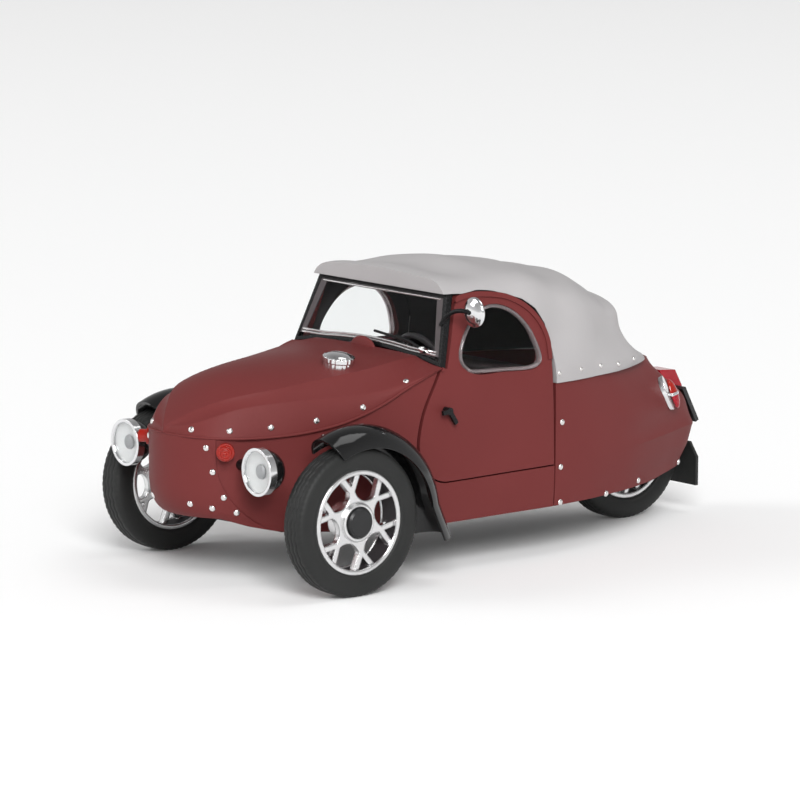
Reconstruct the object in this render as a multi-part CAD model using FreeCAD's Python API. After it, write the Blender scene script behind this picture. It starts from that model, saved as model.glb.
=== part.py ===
import FreeCAD
import Part
import math
import os

from FreeCAD import Vector

# A 1:43 scale model of a small three-wheeled car, two wheels in front and one behind.
# Front faces -Y, the car's left is +X, the origin is on the ground under the middle.

# Driving dimensions in millimetres
wheelbase = 46.2
overall_height = 28.6
body_half_width = 11.6
track_width = 28.77
nose_overhang_share = 0.2359
tail_overhang_share = 0.1699
body_wall = 0.8
panel_gap = 0.14
cut_overrun = 5.0
touch_clearance = 0.03

overall_length = wheelbase * (1 + nose_overhang_share + tail_overhang_share)
front_axle_y = nose_overhang_share * wheelbase - overall_length / 2
rear_axle_y = front_axle_y + wheelbase

# Wheels: a thin barrel with a dished face of Y spokes, left between large and small holes
wheel_radius = 7.0
tyre_width = 2.79
tyre_shoulder = 0.55
rim_radius = 4.9
rim_wall = 0.33
rim_width = 2.3
hub_radius = 1.83
hub_cap_radius = 1.4
hub_cap_height = 0.3
hub_cap_bevel = 0.2
axle_radius = 0.6
axle_clearance = 0.05
fork_clearance = 0.3
spoke_count = 6
spoke_phase_angle = 101.0
spoke_depth = 0.7
spoke_recess = 0.2
hole_knee_shares = (0.60, 0.097)
hole_floor_share = 0.425
hole_corner_share = 0.26
eye_root_share = 0.69
eye_corner_share = 0.14

axle_z = wheel_radius
front_wheel_x = track_width / 2

# The hull is a stack of waterlines. Each row holds the height, the place of its nose and of its
# tail along the wheelbase, and its half width at the cabin. The tail has a crease at one level.
hull_level_shares = (
    (0.150, -0.165, 1.102, 0.980),
    (0.178, -0.180, 1.117, 0.986),
    (0.215, -0.193, 1.124, 0.992),
    (0.241, -0.212, 1.136, 0.996),
    (0.266, -0.223, 1.147, 0.998),
    (0.297, -0.230, 1.1555, 1.0),
    (0.332, -0.233, 1.1615, 1.0),
    (0.357, -0.2335, 1.158, 1.0),
    (0.385, -0.2335, 1.150, 1.0),
    (0.425, -0.2335, 1.135, 1.0),
    (0.457, -0.2335, 1.115, 1.0),
    (0.479, -0.2335, 1.094, 1.0),
    (0.519, -0.2335, 1.062, 0.999),
    (0.552, -0.2335, 1.036, 0.997),
    (0.595, -0.2335, 1.014, 0.993),
    (0.640, -0.2335, 1.004, 0.986),
    (0.685, -0.2335, 0.994, 0.974),
    (0.745, -0.2335, 0.984, 0.949),
    (0.815, -0.2335, 0.974, 0.912),
    (0.880, -0.2335, 0.964, 0.873),
    (0.950, -0.2335, 0.954, 0.828),
)
crease_level_share = 0.332
belt_level_share = 0.595

# Half plan of a waterline: how far along the nose or the tail, then how wide
cabin_front_share = 0.2814
cabin_rear_share = 0.5974
nose_plan_shares = (
    (0.0, 0.0), (0.0084, 0.138), (0.0315, 0.267), (0.065, 0.380), (0.109, 0.466),
    (0.172, 0.534), (0.252, 0.603), (0.361, 0.690), (0.538, 0.793), (0.731, 0.888),
    (0.874, 0.957), (1.0, 0.991))
cabin_plan_shares = ((0.33, 1.0), (0.67, 1.0))
tail_plan_shares = (
    (1.0, 0.998), (0.89, 0.972), (0.78, 0.935), (0.65, 0.873), (0.53, 0.805), (0.41, 0.710),
    (0.29, 0.600), (0.18, 0.490), (0.10, 0.412), (0.05, 0.345), (0.021, 0.260), (0.006, 0.150),
    (0.0, 0.0))
inner_row_count = 3
inner_point_count = 2

# Lower edge of the body seen from the side: place along the wheelbase, then height
sill_shares = (
    (-0.30, 0.233), (-0.17, 0.233), (-0.116, 0.203), (-0.060, 0.182), (0.04, 0.171),
    (0.15, 0.167), (0.281, 0.165), (0.60, 0.170), (0.95, 0.173), (1.04, 0.185), (1.20, 0.210))

# Nose panel: a separate skin, proud of the body, with this rear edge seen from the side
nose_panel_proud = 0.09
nose_panel_shares = (
    (-0.187, 0.56), (-0.187, 0.45), (-0.181, 0.365), (-0.162, 0.30), (-0.134, 0.25),
    (-0.100, 0.21), (-0.060, 0.17), (-0.040, 0.13))

# Bonnet: place along the wheelbase, lip and crown height, then width and rise of the upper crease
# and of the lower crease, as shares of the half width and of the rise over the lip
bonnet_wall = 0.6
bonnet_lip = 0.2
bonnet_bulge_share = 0.05
bonnet_shares = (
    (-0.2359, 0.505, 0.511, 0.30, 0.975, 0.72, 0.70),
    (-0.2350, 0.505, 0.519, 0.30, 0.975, 0.72, 0.70),
    (-0.2320, 0.505, 0.529, 0.30, 0.975, 0.73, 0.70),
    (-0.2210, 0.504, 0.549, 0.31, 0.970, 0.74, 0.69),
    (-0.2030, 0.503, 0.573, 0.38, 0.950, 0.76, 0.67),
    (-0.1730, 0.501, 0.610, 0.53, 0.900, 0.80, 0.645),
    (-0.1400, 0.499, 0.647, 0.66, 0.825, 0.845, 0.615),
    (-0.1000, 0.499, 0.676, 0.73, 0.770, 0.875, 0.575),
    (-0.0540, 0.5035, 0.694, 0.75, 0.745, 0.895, 0.545),
    (0.0430, 0.5245, 0.7115, 0.735, 0.760, 0.920, 0.480),
    (0.1430, 0.579, 0.717, 0.73, 0.770, 0.960, 0.340),
    (0.2160, 0.642, 0.718, 0.70, 0.800, 0.985, 0.190),
    (0.2840, 0.687, 0.719, 0.67, 0.840, 0.995, 0.100),
)

# Soft top: place along the wheelbase, half widths at mid height and at the shoulder, then
# shoulder, quarter and crown height. Its two rear bows show as a step and an edge.
top_wall = 0.6
top_foot_share = 0.54
top_mid_share = 0.752
top_quarter_share = 0.62
top_overhang = 0.12
soft_top_shares = (
    (0.3160, 0.955, 0.848, 0.9290, 0.972, 0.980),
    (0.3300, 0.955, 0.853, 0.9300, 0.975, 0.984),
    (0.3550, 0.955, 0.858, 0.9290, 0.975, 0.986),
    (0.3900, 0.955, 0.862, 0.9260, 0.968, 0.982),
    (0.4300, 0.955, 0.862, 0.9250, 0.970, 0.987),
    (0.4720, 0.955, 0.862, 0.9300, 0.985, 1.000),
    (0.5480, 0.952, 0.858, 0.9210, 0.973, 0.987),
    (0.6370, 0.930, 0.838, 0.8900, 0.949, 0.965),
    (0.6980, 0.885, 0.795, 0.8640, 0.928, 0.946),
    (0.7360, 0.848, 0.760, 0.8480, 0.912, 0.930),
    (0.7640, 0.815, 0.730, 0.8330, 0.893, 0.911),
    (0.7840, 0.788, 0.705, 0.8190, 0.874, 0.892),
    (0.7980, 0.770, 0.688, 0.8060, 0.853, 0.870),
    (0.8120, 0.752, 0.672, 0.7990, 0.842, 0.857),
    (0.8340, 0.722, 0.644, 0.7940, 0.834, 0.848),
    (0.8560, 0.686, 0.608, 0.7860, 0.824, 0.837),
    (0.8720, 0.654, 0.570, 0.7660, 0.797, 0.810),
    (0.8840, 0.622, 0.528, 0.7280, 0.750, 0.762),
    (0.8960, 0.590, 0.486, 0.6860, 0.700, 0.710),
    (0.9140, 0.546, 0.440, 0.6480, 0.660, 0.667),
    (0.9440, 0.470, 0.370, 0.6200, 0.628, 0.632),
    (0.9800, 0.350, 0.270, 0.6010, 0.606, 0.608),
    (1.0080, 0.190, 0.150, 0.5900, 0.594, 0.595),
)

# Door outline and window, as shares of the door's length and height
door_length = 16.6
door_height_share = 0.6154
door_front_share = 0.2294
door_bottom_share = 0.306
door_front_shares = (
    (0.283, 0.969), (0.217, 0.793), (0.160, 0.625), (0.090, 0.497), (0.033, 0.384),
    (0.006, 0.281), (0.0, 0.179), (0.024, 0.105), (0.072, 0.048), (0.193, 0.0))
door_rear_shares = ((1.0, 0.014),)
door_arch_shares = (
    (0.985, 0.69), (0.952, 0.787), (0.886, 0.872), (0.795, 0.935), (0.693, 0.974),
    (0.596, 0.991), (0.476, 1.0), (0.361, 0.991), (0.283, 0.969))
door_rim_width = 0.5
door_rim_proud = 0.16
window_shares = (
    (0.331, 0.600), (0.398, 0.568), (0.600, 0.560), (0.807, 0.554), (0.886, 0.574),
    (0.910, 0.616), (0.886, 0.702), (0.849, 0.778), (0.792, 0.844), (0.723, 0.892),
    (0.639, 0.920), (0.560, 0.923), (0.470, 0.895), (0.398, 0.838), (0.337, 0.764),
    (0.301, 0.690), (0.301, 0.640))
flange_width = 0.5
flange_proud = 0.1
pane_recess = 0.25
pane_depth = 0.3

# Rear seam behind the door and the belt line that the soft top stands on
rear_seam_y = front_axle_y + door_front_share * wheelbase + door_length + panel_gap
belt_z = 0.590 * overall_height

# Windscreen: corners of the leaning frame
screen_bottom_share = 0.6906
screen_top_share = 0.9213
screen_front_share = 0.2846
screen_bottom_z = screen_bottom_share * overall_height
screen_top_z = screen_top_share * overall_height
screen_bottom_y = front_axle_y + screen_front_share * wheelbase
screen_lean = 2.05
screen_bottom_half = 11.2
screen_top_half = 9.75
screen_frame_bar = 0.4
screen_frame_depth = 0.7
screen_glass_depth = 0.4
screen_crown = 0.9

# Interior
floor_share = 0.2098
floor_z = floor_share * overall_height
floor_depth = 0.6
tub_wall = 0.6
tub_height = 7.2
tub_setback = 8.6
tub_length = 26.6
tub_front_y = front_axle_y + tub_setback
tub_rear_y = tub_front_y + tub_length
tub_half_width = 8.3
seat_half_width = 7.9
seat_setback = 20.5
seat_front_y = front_axle_y + seat_setback
seat_depth = 8.6
seat_height = 4.2
seat_back_height = 7.0
seat_back_depth = 2.4
seat_rounding_share = 0.3
dash_depth = 2.2
dash_height = 3.0
dash_half_width = 8.0
dash_hump_radius = 2.2
wheel_rim_radius = 3.3
wheel_rim_section = 0.32
wheel_rim_side_count = 6
wheel_lean_share = 0.35
steering_x = 4.4
steering_column_radius = 0.35

# Base plate with its two screw plinths on the centre line
base_shares = ((-0.205, 0.239), (-0.116, 0.2085), (-0.045, 0.1745), (1.0, 0.1745), (1.13, 0.2))
base_depth = 0.9
base_clearance = 0.06
base_z = base_shares[2][1] * overall_height
plinth_radius = 2.0
plinth_depth = floor_z - base_z - touch_clearance
plinth_hole_radius = 0.9
plinth_setback = 4.0
plinth_spacing = 29.0
well_half_width = 3.1
well_clearance = 0.55
well_radius = wheel_radius + well_clearance

# Mudguards: an arch struck from a centre behind and below the axle, with a flared tail
guard_half_width = 2.45
guard_centre_x = 13.85
guard_setback = 1.1
guard_drop = 0.4
guard_edge_clearance = 0.3
guard_edge_radius = wheel_radius + guard_edge_clearance
guard_crown = 1.95
guard_wall = 0.3
guard_front_angle = 117.0
guard_rear_angle = 8.0
guard_tail_angle = 24.0
guard_tail_length = 3.7
guard_stay_radius = 0.4

# Lamps, plate and trim, placed by shares of the half width, the wheelbase and the height
lamp_place_shares = (0.894, -0.171, 0.4136)
lamp_radius = 2.25
lamp_bezel_depth = 0.75
lamp_bowl_depth = 2.1
lamp_bowl_radius = 2.05
lamp_lens_depth = 0.3
lamp_bezel = 0.3
lamp_bar_radius = 0.55
lamp_clip_width = 0.5
lamp_clip_height = 0.35
indicator_place_shares = (0.4957, -0.1721, 0.458)
indicator_radius = 0.85
indicator_waist = 0.62
indicator_height = 1.25
indicator_step = 0.45
indicator_angle = 39.7
tail_lamp_place_shares = (0.474, 1.0215, 0.4615)
tail_lamp_angle = 41.0
tail_lamp_tilt_angle = 20.0
tail_lamp_half_length = 1.8
tail_lamp_half_width = 0.95
tail_lamp_edge = 0.28
tail_lamp_base_height = 0.3
tail_lamp_height = 0.4
tail_lamp_band = 0.14
stop_lamp_width = 2.6
stop_lamp_length = 3.1
stop_lamp_height = 1.9
stop_lamp_shares = ((0.0, 1.0), (0.68, 0.92), (1.0, 0.0), (0.2, -0.4))
stop_lamp_place_shares = (0.0, 1.087, 0.451)
plate_width = 6.2
plate_height = 4.0
plate_depth = 0.45
plate_place_shares = (0.0, 1.1608, 0.3276)
plate_angle = 28.0
flap_half_width = 3.1
flap_shoulder = 1.1
flap_height = 4.4
flap_side_height = 2.95
flap_depth = 0.35
flap_hanger_length = 1.7
flap_bottom_share = 0.0979
mirror_radius = 1.45
mirror_rim = 0.25
mirror_depth = 0.75
mirror_place_shares = (1.125, 0.340, 0.8706)
mirror_arm_radius = 0.22
mirror_arm_rise = 0.75
handle_length = 1.5
handle_width = 0.42
handle_depth = 0.3
handle_stand = 0.35
handle_boss_radius = 0.36
handle_cross_length = 0.85
handle_lever_angle = 56.0
handle_cross_angle = 8.0
handle_place_shares = (1.0, 0.2955, 0.545)
cap_radius = 1.55
cap_edge = 0.38
cap_neck_radius = 1.2
cap_neck_height = 0.3
cap_dome_height = 0.32
cap_scallop_count = 10
cap_scallop_radius = 0.2
cap_place_shares = (0.457, 0.1212, 0.7045)
cap_angle = 9.0
wiper_length = 5.2
wiper_blade_length = 3.9
wiper_section = 0.15
wiper_pivot_x = 6.6
wiper_spindle_radius = 0.45

parts = {}


def place_y(share):
    """Place along the car for a share of the wheelbase behind the front axle."""
    return front_axle_y + share * wheelbase


def spot(shares):
    """Point at shares of the half width, of the wheelbase behind the axle and of the height."""
    across, along, up = shares
    return Vector(across * body_half_width, place_y(along), up * overall_height)


def closed_face(edges):
    """Flat face bounded by joined edges."""
    return Part.Face(Part.Wire(Part.__sortEdges__(edges)))


def spline(points, closed=False):
    """Smooth edge through points."""
    curve = Part.BSplineCurve()
    curve.interpolate(points, PeriodicFlag=closed)
    return curve.toShape()


def polyline(points, closed=True):
    """Straight edges through points, back to the first where closed."""
    ends = points[1:] + points[:1] if closed else points[1:]
    return [Part.makeLine(a, b) for a, b in zip(points, ends)]


def box(x_low, x_high, y_low, y_high, z_low, z_high):
    """Box between two corners."""
    size = Vector(x_high - x_low, y_high - y_low, z_high - z_low)
    return Part.makeBox(size.x, size.y, size.z, Vector(x_low, y_low, z_low))


def mirrored(shape):
    """The same solid on the other side of the car."""
    return shape.mirror(Vector(0, 0, 0), Vector(1, 0, 0))


def both_sides(shape):
    """A solid and its mirror image across the middle plane."""
    return Part.Compound([shape, mirrored(shape)])


def largest(shape):
    """The biggest solid of a shape, without slivers."""
    return max(shape.Solids, key=lambda solid: solid.Volume)


def rod(start, end, radius):
    """Round bar between two points."""
    return Part.makeCylinder(radius, (end - start).Length, start, end - start)


def prism_x(edges, x_low, x_high):
    """Outline in the YZ plane carried across the car."""
    face = closed_face(edges)
    face.translate(Vector(x_low, 0, 0))
    return face.extrude(Vector(x_high - x_low, 0, 0))


def side_outline(points):
    """Edges of a closed polygon in the YZ plane."""
    return polyline([Vector(0, y, z) for y, z in points])


def eased(table, place, column):
    """Value of a table's column at a place, on a smooth curve that keeps the rows' order."""
    places = [row[0] for row in table]
    values = [row[column] for row in table]
    if place <= places[0]:
        return values[0]
    if place >= places[-1]:
        return values[-1]
    steps = [b - a for a, b in zip(places, places[1:])]
    slopes = [(b - a) / d for a, b, d in zip(values, values[1:], steps)]
    i = max(n for n, p in enumerate(places[:-1]) if p <= place)

    def knot(n):
        if n == 0 or n == len(slopes):
            return slopes[min(n, len(slopes) - 1)]
        before, after = slopes[n - 1], slopes[n]
        if before * after <= 0:
            return 0.0
        weight_a = 2 * steps[n] + steps[n - 1]
        weight_b = steps[n] + 2 * steps[n - 1]
        return (weight_a + weight_b) / (weight_a / before + weight_b / after)
    t = (place - places[i]) / steps[i]
    rise = t * t * (3 - 2 * t)
    bend_a = t * (1 - t) ** 2
    bend_b = -t * t * (1 - t)
    return (values[i] * (1 - rise) + values[i + 1] * rise
            + steps[i] * (bend_a * knot(i) + bend_b * knot(i + 1)))


def chord_places(lines):
    """Curve parameters from 0 to 1 that follow the mean distances along several point rows."""
    steps = []
    for i in range(len(lines[0]) - 1):
        steps.append(sum(line[i].distanceToPoint(line[i + 1]) for line in lines))
    places = [0.0]
    for step in steps:
        places.append(places[-1] + step / sum(steps))
    places[-1] = 1.0
    return places


def skin_patch(rows, along, across, closed):
    """Smooth surface through rows of points at given curve parameters in both directions."""
    pole_rows = []
    for row in rows:
        row_curve = Part.BSplineCurve()
        row_curve.interpolate(Points=row, Parameters=along, PeriodicFlag=closed)
        pole_rows.append(row_curve.getPoles())
    pole_columns = []
    for column in zip(*pole_rows):
        curve = Part.BSplineCurve()
        curve.interpolate(Points=list(column), Parameters=across)
        pole_columns.append(curve.getPoles())
    poles = [list(line) for line in zip(*pole_columns)]
    surface = Part.BSplineSurface()
    surface.buildFromPolesMultsKnots(
        poles, curve.getMultiplicities(), row_curve.getMultiplicities(), curve.getKnots(),
        row_curve.getKnots(), False, closed, curve.Degree, row_curve.Degree)
    return surface.toShape()


def skin_patches(rows, closed, row_creases=(), point_creases=()):
    """Smooth surfaces through rows of points, meeting along creases at some rows and points."""
    loops = [row + row[:1] for row in rows] if closed else rows
    along = chord_places(loops)
    across = chord_places([list(column) for column in zip(*rows)])
    row_ends = [0, *row_creases, len(rows) - 1]
    point_ends = [0, *point_creases, len(rows[0]) - 1]
    patches = []
    for low, high in zip(row_ends, row_ends[1:]):
        band = rows[low:high + 1]
        if closed:
            patches.append(skin_patch(band, along, across[low:high + 1], True))
            continue
        for left, right in zip(point_ends, point_ends[1:]):
            part_rows = [row[left:right + 1] for row in band]
            patches.append(skin_patch(part_rows, along[left:right + 1],
                                      across[low:high + 1], False))
    return patches


def sewn_solid(faces):
    """Solid bounded by faces that meet along their edges."""
    shell = Part.Shell(faces)
    shell.sewShape()
    solid = Part.Solid(shell)
    if solid.Volume < 0:
        solid.reverse()
    return solid


def ring_solid(rows, row_creases=()):
    """Solid within closed rows of points one above the other, flat at both ends."""
    patches = skin_patches(rows, True, row_creases)
    loops = sorted((e for patch in patches for e in patch.Edges if e.isClosed()),
                   key=lambda e: e.CenterOfMass.z)
    return sewn_solid(patches + [Part.Face(Part.Wire([e])) for e in (loops[0], loops[-1])])


def arch_solid(rows, point_creases=()):
    """Solid under open rows of points one behind the other, with a ruled underside."""
    patches = skin_patches(rows, False, (), point_creases)
    edges = [e for patch in patches for e in patch.Edges]

    def side_edge(spots):
        for edge in edges:
            ends = [v.Point for v in edge.Vertexes]
            if all(min(end.distanceToPoint(s) for s in spots) < touch_clearance for end in ends):
                return edge
    right = side_edge((rows[0][0], rows[-1][0]))
    left = side_edge((rows[0][-1], rows[-1][-1]))
    caps = [Part.makeRuledSurface(right, left)]
    for row in (rows[0], rows[-1]):
        face_y = row[0].y
        rim = [e for e in edges if max(abs(e.BoundBox.YMin - face_y),
                                       abs(e.BoundBox.YMax - face_y)) < touch_clearance]
        caps.append(closed_face(rim + [Part.makeLine(row[-1], row[0])]))
    return sewn_solid(patches + caps)


def plain_solid(rows, row_step, point_step):
    """Solid through some of the rows and points joined by straight lines, for inner faces."""
    picked = rows[:-1:row_step] + rows[-1:]
    return Part.makeLoft([Part.makePolygon(thinned(row, point_step)) for row in picked],
                         True, True)


def thinned(row, step):
    """Closed polygon of every step-th point of a row, with both of its ends."""
    points = row[:-1:step] + row[-1:]
    return points + points[:1]


def hull_row(level_share):
    """The waterline nearest to a level."""
    return min(hull_level_shares, key=lambda row: abs(row[0] - level_share))


def half_plan(nose, tail, half_width):
    """Points of one side of a waterline from nose to tail."""
    front = place_y(cabin_front_share)
    rear = place_y(cabin_rear_share)
    points = [(w * half_width, nose + s * (front - nose)) for s, w in nose_plan_shares]
    points += [(w * half_width, front + s * (rear - front)) for s, w in cabin_plan_shares]
    points += [(w * half_width, tail - s * (tail - rear)) for s, w in tail_plan_shares]
    return points


def moved_in(points, inset):
    """Plan points of one side moved inwards by inset along their normals."""
    moved = []
    count = len(points)
    for i, (x, y) in enumerate(points):
        before = points[i - 1] if i else (-points[1][0], points[1][1])
        after = points[i + 1] if i < count - 1 else (-points[i - 1][0], points[i - 1][1])
        along = Vector(after[0] - before[0], after[1] - before[1], 0)
        along.normalize()
        new_x = 0.0 if i in (0, count - 1) else x - along.y * inset
        moved.append((new_x, y + along.x * inset))
    return moved


def hull_rows(inset, overrun):
    """Closed rows of hull points from the lowest waterline up, inset inwards on plan."""
    rows = []
    last = len(hull_level_shares) - 1
    for i, (level, nose, tail, width) in enumerate(hull_level_shares):
        z = level * overall_height + overrun * ((i == last) - (i == 0))
        plan = half_plan(place_y(nose), place_y(tail), width * body_half_width)
        plan = moved_in(plan, inset)
        right = [Vector(x, y, z) for x, y in plan]
        left = [Vector(-x, y, z) for x, y in plan[1:-1]]
        rows.append(right[::-1] + left)
    return rows


def hull_solid(inset):
    """Body solid from nose to tail, inset inwards on plan, creased along the tail."""
    crease = hull_level_shares.index(hull_row(crease_level_share))
    return ring_solid(hull_rows(inset, 0.0), (crease,))


def hull_core(inset):
    """Space inside the hull's wall, open through its bottom and top."""
    return plain_solid(hull_rows(inset, cut_overrun), inner_row_count, inner_point_count)


def sill_cut():
    """Everything below the body's lower edge."""
    wide = body_half_width + cut_overrun
    line = [(place_y(s), z * overall_height) for s, z in sill_shares]
    line += [(line[-1][0], -cut_overrun), (line[0][0], -cut_overrun)]
    return prism_x(side_outline(line), -wide, wide)


def hull_half_width(level_share, share):
    """Half width of the waterline at a level, at a place along the wheelbase."""
    level, nose, tail, width = hull_row(level_share)
    plan = half_plan(place_y(nose), place_y(tail), width * body_half_width)
    return eased([(y, x) for x, y in plan], place_y(share), 1)


def bonnet_rows(inset, below):
    """Rows of bonnet points from nose to windscreen, made smaller by inset, carried below."""
    rows = []
    first = place_y(bonnet_shares[0][0])
    last = place_y(bonnet_shares[-1][0])
    for share, lip, crown, upper, upper_rise, lower, lower_rise in bonnet_shares:
        y = last + (place_y(share) - last) * (1 - inset / (last - first))
        y += below if share == bonnet_shares[-1][0] else 0
        full = hull_half_width(lip, share) + bonnet_lip
        half_width = max(full - inset, full / 3)
        low = lip * overall_height - below
        rise = (crown - lip) * overall_height
        rise = below + max(rise - inset, rise / 3)
        bulge = bonnet_bulge_share
        side = [(1.0, 0.0), ((1 + lower + bulge) / 2, (lower_rise + bulge) / 2),
                (lower, lower_rise),
                ((lower + upper) / 2, (lower_rise + upper_rise + bulge / 2) / 2),
                (upper, upper_rise)]
        for part in (2 / 3, 1 / 3, 0):
            side.append((upper * part, 1 - (1 - upper_rise) * part ** 2))
        right = [Vector(half_width * a, y, low + rise * b) for a, b in side]
        left = [Vector(-p.x, y, p.z) for p in right[:-1]]
        rows.append(right + left[::-1])
    return rows


def bonnet_solid():
    """Arched solid over the nose with two creases on each side."""
    rows = bonnet_rows(0.0, 0.0)
    last = len(rows[0]) - 1
    return arch_solid(rows, (2, 4, last - 4, last - 2))


def bonnet_lip_line():
    """Points (y, z) along the bonnet's lower edge."""
    return [(place_y(row[0]), row[1] * overall_height) for row in bonnet_shares]


def soft_top_rows(inset):
    """Rows of points over the folding top from the windscreen back, made smaller by inset."""
    rows = []
    first = place_y(soft_top_shares[0][0])
    last = place_y(soft_top_shares[-1][0])
    low = top_foot_share * overall_height - inset
    for share, mid, shoulder, shoulder_z, quarter_z, crown in soft_top_shares:
        y = first + inset + (place_y(share) - first) * (1 - 2 * inset / (last - first))
        belt = hull_half_width(belt_level_share, share) + top_overhang
        high = shoulder_z * overall_height
        foot_z = low + (high - low) / 3
        mid_z = min(top_mid_share * overall_height, low + (high - low) * 2 / 3)
        raw = [(belt, low), (belt, foot_z), (mid * body_half_width, mid_z),
               (shoulder * body_half_width, high),
               (shoulder * top_quarter_share * body_half_width, quarter_z * overall_height),
               (0, crown * overall_height)]
        right = []
        for i, (half, z) in enumerate(raw):
            height = z - inset * (i > 2)
            right.append(Vector(max(half - inset, half / 3), y,
                                max(height, low + (z - low) / 3)))
        left = [Vector(-p.x, y, p.z) for p in right[:-1]]
        rows.append(right + left[::-1])
    return rows


def door_point(pair):
    """Point of the side view given as shares of the door's length and height."""
    y = place_y(door_front_share) + pair[0] * door_length
    z = (door_bottom_share + pair[1] * door_height_share) * overall_height
    return Vector(0, y, z)


def grown_loop(points, grow):
    """Corners of a closed loop in the YZ plane, each moved outwards by grow."""
    area = sum(a.y * b.z - b.y * a.z for a, b in zip(points, points[1:] + points[:1]))
    side = grow if area > 0 else -grow
    moved = []
    for i, point in enumerate(points):
        before = point - points[i - 1]
        after = points[(i + 1) % len(points)] - point
        before.normalize()
        after.normalize()
        normal = Vector(0, before.z + after.z, -before.y - after.y)
        moved.append(point + normal * (side / (1 + before.dot(after))))
    return moved


def door_prism(grow, x_low, x_high):
    """Door outline in the side view, widened by grow and carried across."""
    front_count = len(door_front_shares)
    pairs = door_front_shares + door_rear_shares + door_arch_shares[:-1]
    loop = grown_loop([door_point(pair) for pair in pairs], grow)
    front = loop[:front_count]
    rear = loop[front_count]
    arch = loop[front_count + 1:] + loop[:1]
    edges = [spline(front), Part.makeLine(front[-1], rear), Part.makeLine(rear, arch[0]),
             spline(arch)]
    return prism_x(edges, x_low, x_high)


def window_prism(grow, x_low, x_high):
    """Window outline in the side view, widened by grow and carried across."""
    loop = grown_loop([door_point(pair) for pair in window_shares], grow)
    return prism_x([spline(loop, closed=True)], x_low, x_high)


def well():
    """Space kept free round the rear wheel."""
    start = Vector(-well_half_width, rear_axle_y, axle_z)
    return Part.makeCylinder(well_radius, 2 * well_half_width, start, Vector(1, 0, 0))


def screen_point(x, up):
    """Point in the leaning plane of the windscreen, up from its lower corners."""
    share = up / (screen_top_z - screen_bottom_z)
    return Vector(x, screen_bottom_y + share * screen_lean, screen_bottom_z + up)


def screen_normal():
    """Unit direction from the windscreen's front face to its back face."""
    normal = Vector(0, screen_top_z - screen_bottom_z, -screen_lean)
    normal.normalize()
    return normal


def screen_slot(grow):
    """Space across the car taken by the windscreen frame, widened by grow."""
    wide = body_half_width + cut_overrun
    foot = screen_point(0, 0)
    head = screen_point(0, screen_top_z - screen_bottom_z)
    depth = screen_normal() * screen_frame_depth
    return prism_x(polyline(grown_loop([foot, foot + depth, head + depth, head], grow)),
                   -wide, wide)


def nose_skin(hull):
    """The nose panel, a thin skin standing proud of the hull ahead of its seam."""
    wide = body_half_width + cut_overrun
    seam = [Vector(0, place_y(s), z * overall_height) for s, z in nose_panel_shares]
    ahead = place_y(-nose_overhang_share) - cut_overrun
    corners = [seam[-1], Vector(0, ahead, seam[-1].z), Vector(0, ahead, seam[0].z), seam[0]]
    region = prism_x([spline(seam)] + polyline(corners, closed=False), -wide, wide)
    return largest(hull_solid(-nose_panel_proud).common(region)).cut(hull)


def build_body():
    """Front body, bonnet, doors and tail, cut from a hollow hull along its seams."""
    wide = body_half_width + cut_overrun
    far = overall_length
    above = overall_height + cut_overrun
    hull = hull_solid(0.0)
    below = sill_cut()
    shell = hull.cut(hull_core(body_wall)).cut(below)
    slot = screen_slot(touch_clearance)
    bonnet = bonnet_solid()
    arch_start = door_point(door_arch_shares[-1])
    lip = [Vector(0, y, z - touch_clearance) for y, z in bonnet_lip_line()]
    ahead = Vector(0, lip[0].y - cut_overrun, lip[0].z)
    corners = [lip[-1], arch_start, Vector(0, arch_start.y, above), Vector(0, ahead.y, above),
               ahead, lip[0]]
    front_cut = prism_x([spline(lip)] + polyline(corners, closed=False), -wide, wide)
    seam = box(-wide, wide, rear_seam_y - panel_gap / 2, rear_seam_y + far, 0, above)
    door_hole = door_prism(panel_gap, -wide, wide)
    over_door = box(-wide, wide, arch_start.y, rear_seam_y + cut_overrun, belt_z, above)
    axle_hole = rod(Vector(-wide, front_axle_y, axle_z), Vector(wide, front_axle_y, axle_z),
                    axle_radius + panel_gap)
    body = shell.fuse(nose_skin(hull).cut(below))
    parts["front_body"] = largest(body.cut([front_cut, seam, door_hole, over_door, axle_hole,
                                            slot, bonnet]))

    rim_low = door_point(window_shares[0]).z
    rim = hull_solid(-door_rim_proud).common(door_prism(0.0, 0, wide))
    rim = rim.cut([door_prism(-door_rim_width, 0, wide), hull_core(body_wall),
                   box(0, wide, -far, far, 0, rim_low)])
    door = shell.common(door_prism(0.0, 0, wide)).fuse(rim.Solids)
    parts["door_left"] = largest(door.cut([window_prism(0.0, 0, wide), seam, slot]))
    parts["door_right"] = mirrored(parts["door_left"])

    edge = hull_solid(-flange_proud).common(window_prism(-touch_clearance, 0, wide))
    edge = edge.cut([window_prism(-flange_width, 0, wide), hull_core(body_wall)])
    pane = hull_solid(pane_recess).cut(hull_solid(pane_recess + pane_depth))
    pane = pane.common(window_prism(-flange_width / 2, 0, wide))
    parts["side_window_left"] = largest(edge.fuse(largest(pane)))
    parts["side_window_right"] = mirrored(parts["side_window_left"])

    inside = plain_solid(bonnet_rows(bonnet_wall, bonnet_wall), 2, 1)
    parts["bonnet"] = largest(bonnet.cut(inside).cut(slot))

    front_of_seam = box(-wide, wide, rear_seam_y - far, rear_seam_y + panel_gap / 2, 0, above)
    over_tail = box(-wide, wide, rear_seam_y - cut_overrun, rear_seam_y + far, belt_z, above)
    parts["rear_body"] = largest(shell.cut([front_of_seam, over_tail, well()]))
    return hull, bonnet


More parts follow.
